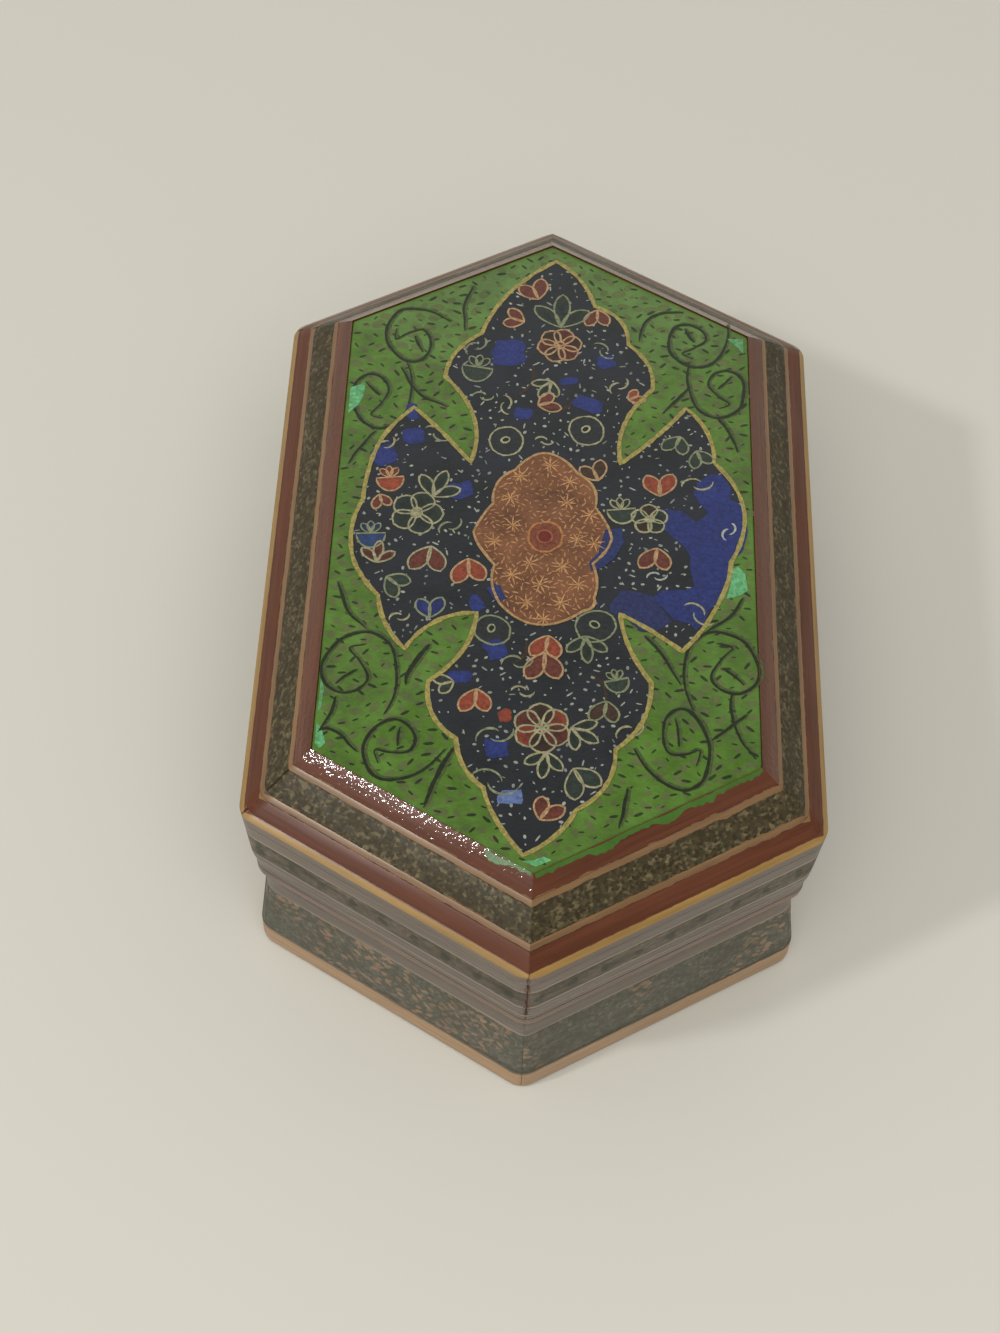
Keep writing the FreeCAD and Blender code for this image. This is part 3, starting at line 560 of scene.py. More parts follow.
class Paint:
    """Flat shapes of paint, each a thin closed solid standing on the ground, gathered in one mesh."""

    def __init__(self, name):
        self.name = name
        self.points = []
        self.faces = []
        self.tints = []
        self.marks = 0

    def lift(self):
        """A small rise that sets each mark apart from those it crosses."""
        self.marks += 1
        return 0.0014 * (self.marks % 15)

    def shape(self, outline, level, tint, heart=None):
        """A filled outline. With heart, its middle has that other tint."""
        area = sum(a[0] * b[1] - b[0] * a[1] for a, b in zip(outline, outline[1:] + outline[:1]))
        if area < 0:
            outline = outline[::-1]
        level += self.lift()
        start = len(self.points)
        count = len(outline)
        for height in (GROUND - 0.05, GROUND + level):
            self.points += [(x, y, height) for x, y in outline]
            self.tints += [tint] * count
        self.faces.append([start + number for number in reversed(range(count))])
        for number in range(count):
            following = (number + 1) % count
            self.faces.append([start + number, start + following,
                               start + count + following, start + count + number])
        if heart is None:
            self.faces.append([start + count + number for number in range(count)])
            return
        self.points.append((sum(x for x, _ in outline) / count, sum(y for _, y in outline) / count, GROUND + level))
        self.tints.append(heart)
        for number in range(count):
            self.faces.append([start + count + number, start + count + (number + 1) % count, start + 2 * count])

    def stroke(self, line, width, level, tint, taper=True, closed=False):
        """A brush stroke along a line, thinner at its ends if it tapers."""
        count = len(line)
        left = []
        right = []
        for number, (x, y) in enumerate(line):
            before = line[number - 1] if closed or number else line[0]
            after = line[(number + 1) % count] if closed or number < count - 1 else line[-1]
            dx, dy = after[0] - before[0], after[1] - before[1]
            size = math.hypot(dx, dy) or 1.0
            share = number / max(1, count - 1)
            half = width / 2 * (0.8 + 0.35 * noise.noise(Vector((x * 0.7, y * 0.7, 3.1))))
            if taper and not closed:
                half *= 0.25 + 0.95 * math.sin(math.pi * min(max(share, 0.0), 1.0) ** 0.75) ** 0.6
            left.append((x - dy / size * half, y + dx / size * half))
            right.append((x + dy / size * half, y - dx / size * half))
        start = len(self.points)
        level += self.lift()
        for low in (True, False):
            for number, (a, b) in enumerate(zip(left, right)):
                height = GROUND + (-0.05 if low else level + 0.006 * number / count)
                self.points += [(a[0], a[1], height), (b[0], b[1], height)]
                self.tints += [tint, tint]
        upper = start + 2 * count
        for number in range(count if closed else count - 1):
            a, c = 2 * number, 2 * ((number + 1) % count)
            b, d = a + 1, c + 1
            self.faces.append([upper + b, upper + d, upper + c, upper + a])
            self.faces.append([start + a, start + c, start + d, start + b])
            self.faces.append([start + a, upper + a, upper + c, start + c])
            self.faces.append([start + d, upper + d, upper + b, start + b])
        if not closed:
            last = 2 * (count - 1)
            self.faces.append([start, start + 1, upper + 1, upper])
            self.faces.append([start + last + 1, start + last, upper + last, upper + last + 1])

    def build(self, material):
        """The mesh object of all shapes so far."""
        mesh = bpy.data.meshes.new(self.name)
        mesh.from_pydata([(x * MM, y * MM, z * MM) for x, y, z in self.points], [], self.faces)
        layer = mesh.attributes.new("tint", "FLOAT_COLOR", "POINT")
        for number, tint in enumerate(self.tints):
            layer.data[number].color = tuple(tint) + (1.0,)
        mesh.materials.append(material)
        obj = bpy.data.objects.new(self.name, mesh)
        bpy.context.scene.collection.objects.link(obj)
        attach(obj, "lid")
        return obj


CREAM = srgb("969270")
WARM_CREAM = srgb("A88862")
SAGE = srgb("7C8262")
RUST = srgb("5C2E22")
EMBER = srgb("803A25")
LEAF_DARK = srgb("28332A")
BRIGHT_BLUE = srgb("232F68")
OLD_GOLD = srgb("998C4C")
PALE_DOT = srgb("A2A69C")
SCROLL = srgb("1E280F")
SCROLL_SOFT = srgb("47582A")
DARK_BROWN = srgb("3A291C")


def outlined(paint, outline, fill, line_tint, level, heart=None, width=0.44):
    """A filled shape with a brushed line round it."""
    paint.shape(outline, level, fill, heart)
    paint.stroke(outline, width, level + 0.03, line_tint, closed=True)


def bud(paint, x, y, degrees, size, fill=RUST, line_tint=WARM_CREAM, level=0.09):
    """Two petals side by side, opening from one base."""
    for lean, share in ((-27, 1.0), (27, 0.92)):
        outline = placed(petal_outline(size * share, size * 0.52), x, y, degrees + lean)
        outlined(paint, outline, fill, line_tint, level, tuple(c * 1.25 for c in fill))


def lily(paint, x, y, degrees, size, fill=LEAF_DARK, line_tint=CREAM, level=0.09):
    """Three slim petals spread from one base."""
    for lean, share in ((-42, 0.82), (40, 0.85), (0, 1.0)):
        outline = placed(petal_outline(size * share, size * 0.36, lean / 400), x, y, degrees + lean)
        outlined(paint, outline, fill, line_tint, level, tuple(c * 0.6 for c in fill))


def rosette(paint, x, y, size, petals, fills, line_tint=WARM_CREAM, level=0.09, turn=0.0):
    """Petals round a small eye."""
    for number in range(petals):
        degrees = turn + 360 * number / petals
        fill = fills[number % len(fills)]
        outline = placed(petal_outline(size * 0.95, size * 0.86), x, y, degrees)
        outline = [(px + (px - x) * 0.18, py + (py - y) * 0.18) for px, py in outline]
        outlined(paint, outline, fill, line_tint, level, tuple(c * 0.55 for c in fill))
    outlined(paint, placed(oval_outline(size * 0.26, size * 0.22), x, y, turn), fills[-1], line_tint, level + 0.022)


def ring_flower(paint, x, y, radius, line_tint=CREAM, level=0.09, turn=0.0):
    """A round flower: a circle with a small ring off its middle."""
    outline = by_hand(placed(oval_outline(radius, radius * 1.08), x, y, turn), 0.25, 0.5, x)
    outlined(paint, outline, srgb("262A2A"), line_tint, level)
    inner = placed(oval_outline(radius * 0.26, radius * 0.2), x - radius * 0.05, y + radius * 0.1, turn + 30)
    paint.shape(inner, level + 0.025, srgb("1A1A18"))
    paint.stroke(inner, 0.42, level + 0.032, tuple(min(1.0, c * 1.25) for c in line_tint), closed=True)


def cup(paint, x, y, degrees, size, fill=LEAF_DARK, line_tint=SAGE, level=0.09):
    """An open cup with three little petals over its rim."""
    bowl = [(size * 0.5 * math.cos(math.radians(a)), size * 0.62 * math.sin(math.radians(a)))
            for a in range(180, 361, 15)]
    outlined(paint, placed(bowl, x, y, degrees), fill, line_tint, level, tuple(c * 1.5 for c in fill))
    for lean in (-38, 0, 38):
        outline = placed(petal_outline(size * 0.52, size * 0.24), x, y, degrees + 90 + lean)
        outlined(paint, outline, tuple(c * 0.7 for c in fill), line_tint, level + 0.002, width=0.32)


def arcs(paint, x, y, degrees, size, line_tint=SAGE, level=0.09):
    """Two curled strokes."""
    for offset, sense in ((0.0, 1), (size * 0.55, -1)):
        line = [(size * 0.5 * math.cos(math.radians(a)) + offset, sense * size * 0.4 * math.sin(math.radians(a)))
                for a in range(10, 190, 18)]
        paint.stroke(placed(line, x, y, degrees), 0.42, level + 0.03, line_tint)


def chip(paint, x, y, width, height, degrees, tint, level, seed):
    """A rough-edged patch of paint."""
    chance = random.Random(seed)
    outline = []
    for number in range(15):
        angle = 2 * math.pi * number / 15
        reach = 0.82 + 0.36 * chance.random()
        corner = 1.0 / max(abs(math.cos(angle)), abs(math.sin(angle))) ** 0.55
        outline.append((width / 2 * math.cos(angle) * reach * corner, height / 2 * math.sin(angle) * reach * corner))
    paint.shape(placed(outline, x, y, degrees), level, tint, tuple(c * 1.25 for c in tint))


def stem(paint, line, width):
    """A dark stroke with a softer one beside it."""
    paint.stroke([(x + 0.3, y + 0.18) for x, y in line], width * 1.7, 0.02, SCROLL_SOFT)
    paint.stroke(line, width, 0.048, SCROLL)


def scrollwork(paint):
    """Curls and stems on the green ground."""
    for x, y, wide, tall, turn, hand in CURLS:
        for path, width in ((CURL, 0.6), (CURL_HEART, 0.5)):
            turned = placed([(px * hand, py) for px, py in path], 0, 0, turn)
            line = curve_through([(x + px * wide, y + py * tall) for px, py in turned])
            stem(paint, by_hand(line, 0.35, 0.2, x), width)
    for number, line in enumerate(STEMS):
        stem(paint, by_hand(curve_through(line), 0.3, 0.3, number), 0.8 if number in (3, 4) else 0.55)


def flowers(paint):
    """Flowers, buds and blue patches of the medallion's four lobes."""
    for x, y, width, height, turn in (
            (-7.8, 41.3, 6.4, 6.2, 8), (7.4, 29.6, 5.6, 3.6, -30), (10.6, 40.2, 3.4, 3.2, 20),
            (-4.6, 26.6, 3.6, 3.0, 0), (3.8, 35.0, 3.8, 1.8, 10), (-25.0, 26.2, 2.2, 3.8, 6),
            (-24.4, 20.4, 4.2, 3.6, 10), (-29.6, 15.6, 4.6, 4.4, 25), (-15.6, 8.0, 5.4, 3.6, 20),
            (-19.6, -17.8, 3.0, 2.2, 0), (-7.8, -26.4, 3.4, 4.4, 30), (-6.8, -46.2, 4.2, 3.8, -10),
            (-11.4, -16.8, 2.4, 3.6, 30), (29.8, 9.4, 5.4, 5.2, 20), (-13.6, -32.2, 4.2, 2.6, 10)):
        chip(paint, x, y, width, height, turn, BRIGHT_BLUE, 0.085, int(x * 10 + y))
    paint.shape(by_hand(LOBE_NAVY, 0.4, 0.5), 0.085, srgb("262E58"))
    paint.shape(by_hand(LOBE_BLUE, 0.4, 0.6), 0.085, BRIGHT_BLUE)
    paint.shape(by_hand(SHAMSA_BLUE, 0.3, 0.8), 0.18, srgb("26305C"))
    chip(paint, -7.9, -14.4, 2.4, 4.2, 30, srgb("26305C"), 0.18, 8)
    # Far lobe
    bud(paint, -2.4, 55.4, 112, 5.4, RUST)
    lily(paint, 2.0, 48.4, 88, 8.4, LEAF_DARK, SAGE)
    rosette(paint, 1.9, 43.8, 3.8, 6, (DARK_BROWN, RUST), WARM_CREAM, turn=12)
    bud(paint, -5.0, 49.4, 160, 4.4)
    bud(paint, 9.0, 53.2, 270, 4.6)
    cup(paint, -13.4, 37.6, -8, 5.8)
    arcs(paint, -14.4, 42.0, 60, 3.4)
    arcs(paint, 9.6, 43.4, -35, 3.2)
    arcs(paint, 12.8, 33.6, 60, 3.0, CREAM)
    bud(paint, 15.0, 31.0, 30, 3.2, EMBER)
    lily(paint, 0.6, 34.8, 240, 4.6, LEAF_DARK, CREAM)
    bud(paint, -1.8, 28.8, 20, 4.4)
    arcs(paint, -8.0, 29.4, -70, 3.0, CREAM)
    arcs(paint, -12.8, 30.4, 10, 2.6)
    ring_flower(paint, -7.4, 19.9, 3.1)
    ring_flower(paint, 7.3, 23.2, 3.2, turn=20)
    arcs(paint, 0.2, 20.4, 180, 2.2, CREAM)
    # Near lobe
    ring_flower(paint, -8.4, -22.2, 3.0, SAGE, turn=50)
    ring_flower(paint, 9.5, -20.6, 3.3, SAGE, turn=120)
    bud(paint, 1.4, -23.0, 262, 5.2, EMBER)
    bud(paint, 0.9, -26.6, 268, 6.2, RUST, WARM_CREAM)
    lily(paint, 7.8, -22.8, 275, 5.6, LEAF_DARK, SAGE)
    arcs(paint, -4.8, -29.0, 20, 3.6)
    bud(paint, -10.6, -34.6, 268, 5.2, EMBER)
    arcs(paint, -2.0, -34.6, 185, 2.6, CREAM)
    rosette(paint, 0.7, -41.9, 4.4, 6, (EMBER, DARK_BROWN, RUST), CREAM, turn=35)
    chip(paint, -5.6, -39.6, 2.4, 2.6, 0, EMBER, 0.1, 3)
    cup(paint, 13.2, -31.6, 15, 4.2)
    bud(paint, 11.6, -36.0, 262, 4.8, DARK_BROWN, SAGE)
    arcs(paint, 14.8, -42.4, 40, 3.4, CREAM)
    lily(paint, 5.6, -41.6, 330, 5.4, LEAF_DARK, CREAM)
    arcs(paint, -8.2, -44.2, 30, 4.4)
    lily(paint, 1.6, -46.6, 262, 5.2, LEAF_DARK, CREAM)
    bud(paint, 6.2, -49.6, 300, 6.0, LEAF_DARK, CREAM)
    arcs(paint, -5.4, -53.0, 170, 5.2)
    chip(paint, -4.2, -55.6, 4.2, 2.8, 5, srgb("5A6C96"), 0.1, 11)
    bud(paint, 0.8, -59.6, 58, 4.8, RUST)
    bud(paint, -14.6, -33.2, 200, 3.6, LEAF_DARK, CREAM)
    # Left lobe
    cup(paint, -28.2, 10.4, 8, 5.0, EMBER, WARM_CREAM)
    bud(paint, -29.8, 6.4, 285, 3.4)
    lily(paint, -20.2, 6.4, 70, 6.4, LEAF_DARK, CREAM)
    rosette(paint, -22.9, 2.6, 4.3, 5, (LEAF_DARK, srgb("24302C")), CREAM, turn=70)
    cup(paint, -30.8, -2.4, 4, 5.2, srgb("22365A"), SAGE)
    lily(paint, -29.4, -8.8, 86, 4.8, RUST, CREAM)
    bud(paint, -19.9, -4.8, 262, 6.2, RUST, CREAM)
    bud(paint, -13.2, -7.2, 275, 5.8, EMBER)
    bud(paint, -27.4, -11.8, 320, 4.8, LEAF_DARK, SAGE)
    bud(paint, -19.4, -20.2, 92, 4.8, tuple(c * 0.7 for c in BRIGHT_BLUE), SAGE)
    arcs(paint, -25.2, -20.6, 30, 2.4, CREAM)
    arcs(paint, -16.2, 0.6, 230, 3.2, SAGE)
    arcs(paint, -19.2, 20.8, 160, 3.4, SAGE)
    arcs(paint, -30.0, 17.2, 60, 3.0, CREAM)
    # Right lobe
    bud(paint, 24.6, 22.6, 250, 4.6, LEAF_DARK, SAGE)
    bud(paint, 27.6, 19.4, 290, 4.2, LEAF_DARK, SAGE)
    arcs(paint, 28.6, 12.0, 200, 3.8, CREAM)
    bud(paint, 9.6, 11.6, 112, 4.8, DARK_BROWN, WARM_CREAM)
    bud(paint, 20.8, 8.6, 92, 5.6, EMBER)
    cup(paint, 13.8, 5.2, 8, 5.2, LEAF_DARK, CREAM)
    rosette(paint, 18.9, 3.2, 3.0, 5, (LEAF_DARK, DARK_BROWN), CREAM, turn=20)
    bud(paint, 20.3, -3.2, 262, 5.4, RUST)
    arcs(paint, 26.6, -16.6, 330, 4.0, CREAM)
    arcs(paint, 19.6, -9.6, 20, 2.4, PALE_DOT, 0.1)
    arcs(paint, 33.0, 0.4, 80, 2.6, PALE_DOT, 0.1)
    for x, y, angle, size in ((-3.0, 38.6, 250, 9.0), (4.8, 29.8, 200, 6.0), (8.6, -30.4, 300, 6.4),
                              (-2.4, -24.4, 250, 5.0), (-19.4, -7.4, 200, 5.0), (-27.0, 6.6, 100, 5.0)):
        line = placed([(0, 0), (size * 0.5, size * 0.16), (size, -0.05 * size)], x, y, angle)
        paint.stroke(curve_through(line, 6), 0.7, 0.075, DARK_BROWN)


def marks_tree():
    """Small flat marks scattered over a surface, as a Geometry Nodes tree."""
    tree = bpy.data.node_groups.new("scattered_marks", "GeometryNodeTree")
    face = tree.interface
    face.new_socket("Surface", in_out="INPUT", socket_type="NodeSocketGeometry")
    for name, kind, value in (
            ("Spacing", "NodeSocketFloat", 0.002), ("Density", "NodeSocketFloat", 4000000.0),
            ("Length", "NodeSocketFloat", 0.001), ("Width", "NodeSocketFloat", 0.0003),
            ("Thickness", "NodeSocketFloat", 0.00004), ("Spread", "NodeSocketFloat", 0.5),
            ("Turn", "NodeSocketFloat", 3.14), ("Seed", "NodeSocketInt", 1), ("Sides", "NodeSocketInt", 8)):
        socket = face.new_socket(name, in_out="INPUT", socket_type=kind)
        socket.default_value = value
    face.new_socket("Material", in_out="INPUT", socket_type="NodeSocketMaterial")
    face.new_socket("Marks", in_out="OUTPUT", socket_type="NodeSocketGeometry")
    nodes, links = tree.nodes, tree.links
    entry = nodes.new("NodeGroupInput")
    out = nodes.new("NodeGroupOutput")
    spread = nodes.new("GeometryNodeDistributePointsOnFaces")
    spread.distribute_method = "POISSON"
    links.new(entry.outputs["Surface"], spread.inputs["Mesh"])
    links.new(entry.outputs["Spacing"], spread.inputs["Distance Min"])
    links.new(entry.outputs["Density"], spread.inputs["Density Max"])
    links.new(entry.outputs["Seed"], spread.inputs["Seed"])
    mark = nodes.new("GeometryNodeMeshCylinder")
    links.new(entry.outputs["Sides"], mark.inputs["Vertices"])
    mark.inputs["Radius"].default_value = 0.5
    mark.inputs["Depth"].default_value = 1.0
    size = nodes.new("ShaderNodeCombineXYZ")
    links.new(entry.outputs["Length"], size.inputs["X"])
    links.new(entry.outputs["Width"], size.inputs["Y"])
    links.new(entry.outputs["Thickness"], size.inputs["Z"])
    change = nodes.new("FunctionNodeRandomValue")
    change.data_type = "FLOAT"
    low = nodes.new("ShaderNodeMath")
    low.operation = "SUBTRACT"
    low.inputs[0].default_value = 1.0
    links.new(entry.outputs["Spread"], low.inputs[1])
    high = nodes.new("ShaderNodeMath")
    high.operation = "ADD"
    high.inputs[0].default_value = 1.0
    links.new(entry.outputs["Spread"], high.inputs[1])
    links.new(low.outputs[0], change.inputs[2])
    links.new(high.outputs[0], change.inputs[3])
    links.new(entry.outputs["Seed"], change.inputs["Seed"])
    scaled = nodes.new("ShaderNodeVectorMath")
    scaled.operation = "SCALE"
    links.new(size.outputs[0], scaled.inputs[0])
    links.new(change.outputs[1], scaled.inputs["Scale"])
    angle = nodes.new("FunctionNodeRandomValue")
    angle.data_type = "FLOAT"
    negative = nodes.new("ShaderNodeMath")
    negative.operation = "MULTIPLY"
    negative.inputs[1].default_value = -1.0
    links.new(entry.outputs["Turn"], negative.inputs[0])
    links.new(negative.outputs[0], angle.inputs[2])
    links.new(entry.outputs["Turn"], angle.inputs[3])
    turn = nodes.new("ShaderNodeCombineXYZ")
    links.new(angle.outputs[1], turn.inputs["Z"])
    follow = nodes.new("FunctionNodeRotateRotation")
    follow.rotation_space = "LOCAL"
    links.new(spread.outputs["Rotation"], follow.inputs[0])
    links.new(turn.outputs[0], follow.inputs[1])
    put = nodes.new("GeometryNodeInstanceOnPoints")
    links.new(spread.outputs["Points"], put.inputs["Points"])
    links.new(mark.outputs["Mesh"], put.inputs["Instance"])
    links.new(follow.outputs[0], put.inputs["Rotation"])
    links.new(scaled.outputs[0], put.inputs["Scale"])
    real = nodes.new("GeometryNodeRealizeInstances")
    links.new(put.outputs["Instances"], real.inputs["Geometry"])
    finish = nodes.new("GeometryNodeSetMaterial")
    links.new(real.outputs["Geometry"], finish.inputs["Geometry"])
    links.new(entry.outputs["Material"], finish.inputs["Material"])
    links.new(finish.outputs["Geometry"], out.inputs["Marks"])
    return tree


def flat_region(name, outline, height):
    """A flat surface inside an outline, to scatter marks on."""
    mesh = bpy.data.meshes.new(name)
    mesh.from_pydata([(x * MM, y * MM, height * MM) for x, y in outline], [], [list(range(len(outline)))])
    obj = bpy.data.objects.new(name, mesh)
    bpy.context.scene.collection.objects.link(obj)
    if mesh.polygons[0].normal.z < 0:
        mesh.flip_normals()
    return obj


def scatter(tree, region, material, body, slot_name, **inputs):
    """Marks on a region by the tree, as a finished piece that takes the region's place."""
    modifier = region.modifiers.new("Marks", "NODES")
    modifier.node_group = tree
    names = {item.name: item.identifier for item in tree.interface.items_tree if item.item_type == "SOCKET"}
    for name, value in inputs.items():
        modifier[names[name]] = value
    modifier[names["Material"]] = material
    plain_mesh(region, region.name)
    return settle(region, body, slot_name, material)


class BoxColours(bpy.types.PropertyGroup):
    """Colours of the box's woods and paints."""

    red_wood: bpy.props.FloatVectorProperty(
        name="Red wood", description="Bands either side of the frame's mosaic",
        subtype="COLOR", size=3, min=0, max=1, default=srgb("603623"))
    yellow_wood: bpy.props.FloatVectorProperty(
        name="Yellow wood", description="Thin edging of the rim",
        subtype="COLOR", size=3, min=0, max=1, default=srgb("9A7840"))
    foot_wood: bpy.props.FloatVectorProperty(
        name="Foot wood", description="Tan strip round the foot",
        subtype="COLOR", size=3, min=0, max=1, default=srgb("A68562"))
    board_wood: bpy.props.FloatVectorProperty(
        name="Board wood", description="Grey-brown boards of body and lid",
        subtype="COLOR", size=3, min=0, max=1, default=srgb("685A4E"))
    line_wood: bpy.props.FloatVectorProperty(
        name="Light line", description="Pale inlaid lines of the sides",
        subtype="COLOR", size=3, min=0, max=1, default=srgb("857968"))
    pink_line: bpy.props.FloatVectorProperty(
        name="Lip line", description="Pinkish line under the gap",
        subtype="COLOR", size=3, min=0, max=1, default=srgb("876954"))
    frame_line: bpy.props.FloatVectorProperty(
        name="Frame line", description="Tan lines beside the frame's mosaic",
        subtype="COLOR", size=3, min=0, max=1, default=srgb("80603E"))
    ground_green: bpy.props.FloatVectorProperty(
        name="Painted ground", description="Green ground of the painted panel",
        subtype="COLOR", size=3, min=0, max=1, default=srgb("486620"))


class BoxSizes(bpy.types.PropertyGroup):
    """Sizes of the box's finish."""

    ease: bpy.props.FloatProperty(
        name="Eased edge", description="Wear on the edges of the wood",
        default=0.00018, min=0.0, soft_max=0.001, precision=5, subtype="DISTANCE", unit="LENGTH")
    corner: bpy.props.FloatProperty(
        name="Side corners", description="Radius to which the four side corners are worn",
        default=0.004, min=0.0, soft_max=0.006, precision=4, subtype="DISTANCE", unit="LENGTH")


def colour_of(name):
    return tuple(getattr(bpy.context.scene.trinket_colours, name))


SIDE_GROUPS = [
    ("board_wood", "body", "body_board_", "board_wood"),
    ("board_wood", "lid", "lid_board_", "board_wood"),
    ("board_wood", "lid", "slope_board_", "board_wood"),
    ("foot_wood", "body", "foot_strip_", "foot_wood"),
    ("body_inlay", "body", "body_inlay_", "body_mosaic"),
    ("lid_inlay", "lid", "lid_inlay_", "star_mosaic"),
]
RING_GROUPS = [
    ("light_line", "body", "waist_line", "line_wood"),
    ("light_line", "body", "body_lip_line", "pink_line"),
    ("light_line", "lid", "lid_lip_line", "line_wood"),
    ("light_line", "lid", "star_lines", "line_wood"),
    ("frame_line", "lid", "outer_frame_line", "frame_line"),
    ("frame_line", "lid", "inner_frame_line", "frame_line"),
    ("frame_inlay", "lid", "frame_inlay", "frame_mosaic"),
    ("red_wood", "lid", "outer_red_band", "red_wood"),
    ("red_wood", "lid", "inner_red_band", "inner_red_wood"),
    ("yellow_wood", "lid", "yellow_edge", "yellow_wood"),
]
WOOD_SHADES = {
    "board_wood": (0.6, 1.4), "foot_wood": (0.68, 1.15), "line_wood": (0.6, 1.25), "pink_line": (0.6, 1.2),
    "frame_line": (0.62, 1.2), "red_wood": (0.64, 1.25), "inner_red_wood": (0.64, 1.25), "yellow_wood": (0.68, 1.15),
}
# Insets of the frame's borders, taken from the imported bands
FRAME_BORDERS = [SIDE_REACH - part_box(node)[1].x for node in (
    "outer_red_band", "outer_frame_line", "frame_inlay", "inner_frame_line", "inner_red_band")]
FRAME_MIDDLE = (FRAME_BORDERS[1] + FRAME_BORDERS[4]) / 2
MOSAIC_HALF = (FRAME_BORDERS[3] - FRAME_BORDERS[2]) / 2
LINES_HALF = (FRAME_BORDERS[4] - FRAME_BORDERS[1]) / 2
YELLOW_FOOT = RIM_LOW.z + 0.00112


def finishes_of_woods():
    """The woods and mosaics by name."""
    made = {}
    tan = colour_of("frame_line")
    red = colour_of("red_wood")
    yellow = colour_of("yellow_wood")
    mosaic_tone = srgb("4C422D")
    foot_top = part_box("foot_strip_right")[1].z
    extras = {
        "red_wood": {"borders": [(1, yellow, FRAME_BORDERS[0] - 0.00015, None, 0.0003)],
                     "frame": [(tan, LINES_HALF, None)], "specular": 0.2, "coat": 0.1},
        "inner_red_wood": {"frame": [(tan, LINES_HALF, None)], "speckle": True, "specular": 0.2, "coat": 0.5},
        "frame_line": {"frame": [(mosaic_tone, MOSAIC_HALF, None), (red, None, LINES_HALF)]},
        "yellow_wood": {"borders": [(1, red, None, FRAME_BORDERS[0] - 0.00015, 0.0003),
                                    (2, colour_of("board_wood"), YELLOW_FOOT, None, 0.0002)]},
        "foot_wood": {"borders": [(2, srgb("5E5646"), None, foot_top - 0.0003, 0.0009),
                                  # The foot's lowest 0.3 mm, next to the floor, turns dark brown.
                                  (2, srgb("4A3A2A"), 0.0003, None, 0.0003)]},
    }
    for name, (dark, light) in WOOD_SHADES.items():
        base = colour_of(name.replace("inner_", ""))
        made[name] = wood(name, base, tuple(c * dark for c in base), tuple(min(1.0, c * light) for c in base),
                          **extras.get(name, {}))
    made["frame_mosaic"] = mosaic(
        "frame_mosaic", (0.745, 0.667), 0.0007,
        [(0.0, srgb("383020")), (0.3, srgb("463D2A")), (0.6, srgb("544A33")), (0.8, srgb("3E3C2A")),
         (0.93, srgb("6C6044"))], srgb("9A8C68"), srgb("3E3624"), 0.62, frame=[(tan, None, MOSAIC_HALF)])
    made["star_mosaic"] = mosaic(
        "star_mosaic", (0.0, 1.0), 0.0011,
        [(0.0, srgb("5E5347")), (0.35, srgb("6C6052")), (0.62, srgb("645A4A")), (0.85, srgb("766957"))],
        srgb("84786A"), srgb("3C3A2E"), 0.25, star=0.0063)
    made["body_mosaic"] = mosaic(
        "body_mosaic", (0.0, 1.0), 0.0009,
        [(0.0, srgb("57554A")), (0.3, srgb("626157")), (0.55, srgb("5B594C")), (0.78, srgb("6A6A60")),
         (0.92, srgb("767164"))], srgb("8A8272"), srgb("555246"), 0.25, warm=srgb("A08268"))
    return made


class TRINKET_OT_woodwork(bpy.types.Operator):
    """Ease the edges of the boards, strips and lines, and give them their woods"""

    bl_idname = "trinket.woodwork"
    bl_label = "Woodwork"

    def execute(self, context):
        ease = context.scene.trinket_sizes.ease
        finishes = finishes_of_woods()
        for slot_name, body, prefix, tone in SIDE_GROUPS:
            for side in FACINGS:
                piece = softened(prefix + side, ease)
                lay_grain(piece.data)
                settle(piece, body, slot_name, finishes[tone], prefix + side)
        for slot_name, body, node, tone in RING_GROUPS:
            piece = softened(node, ease * 0.6)
            lay_grain(piece.data)
            settle(piece, body, slot_name, finishes[tone], node)
        return {"FINISHED"}


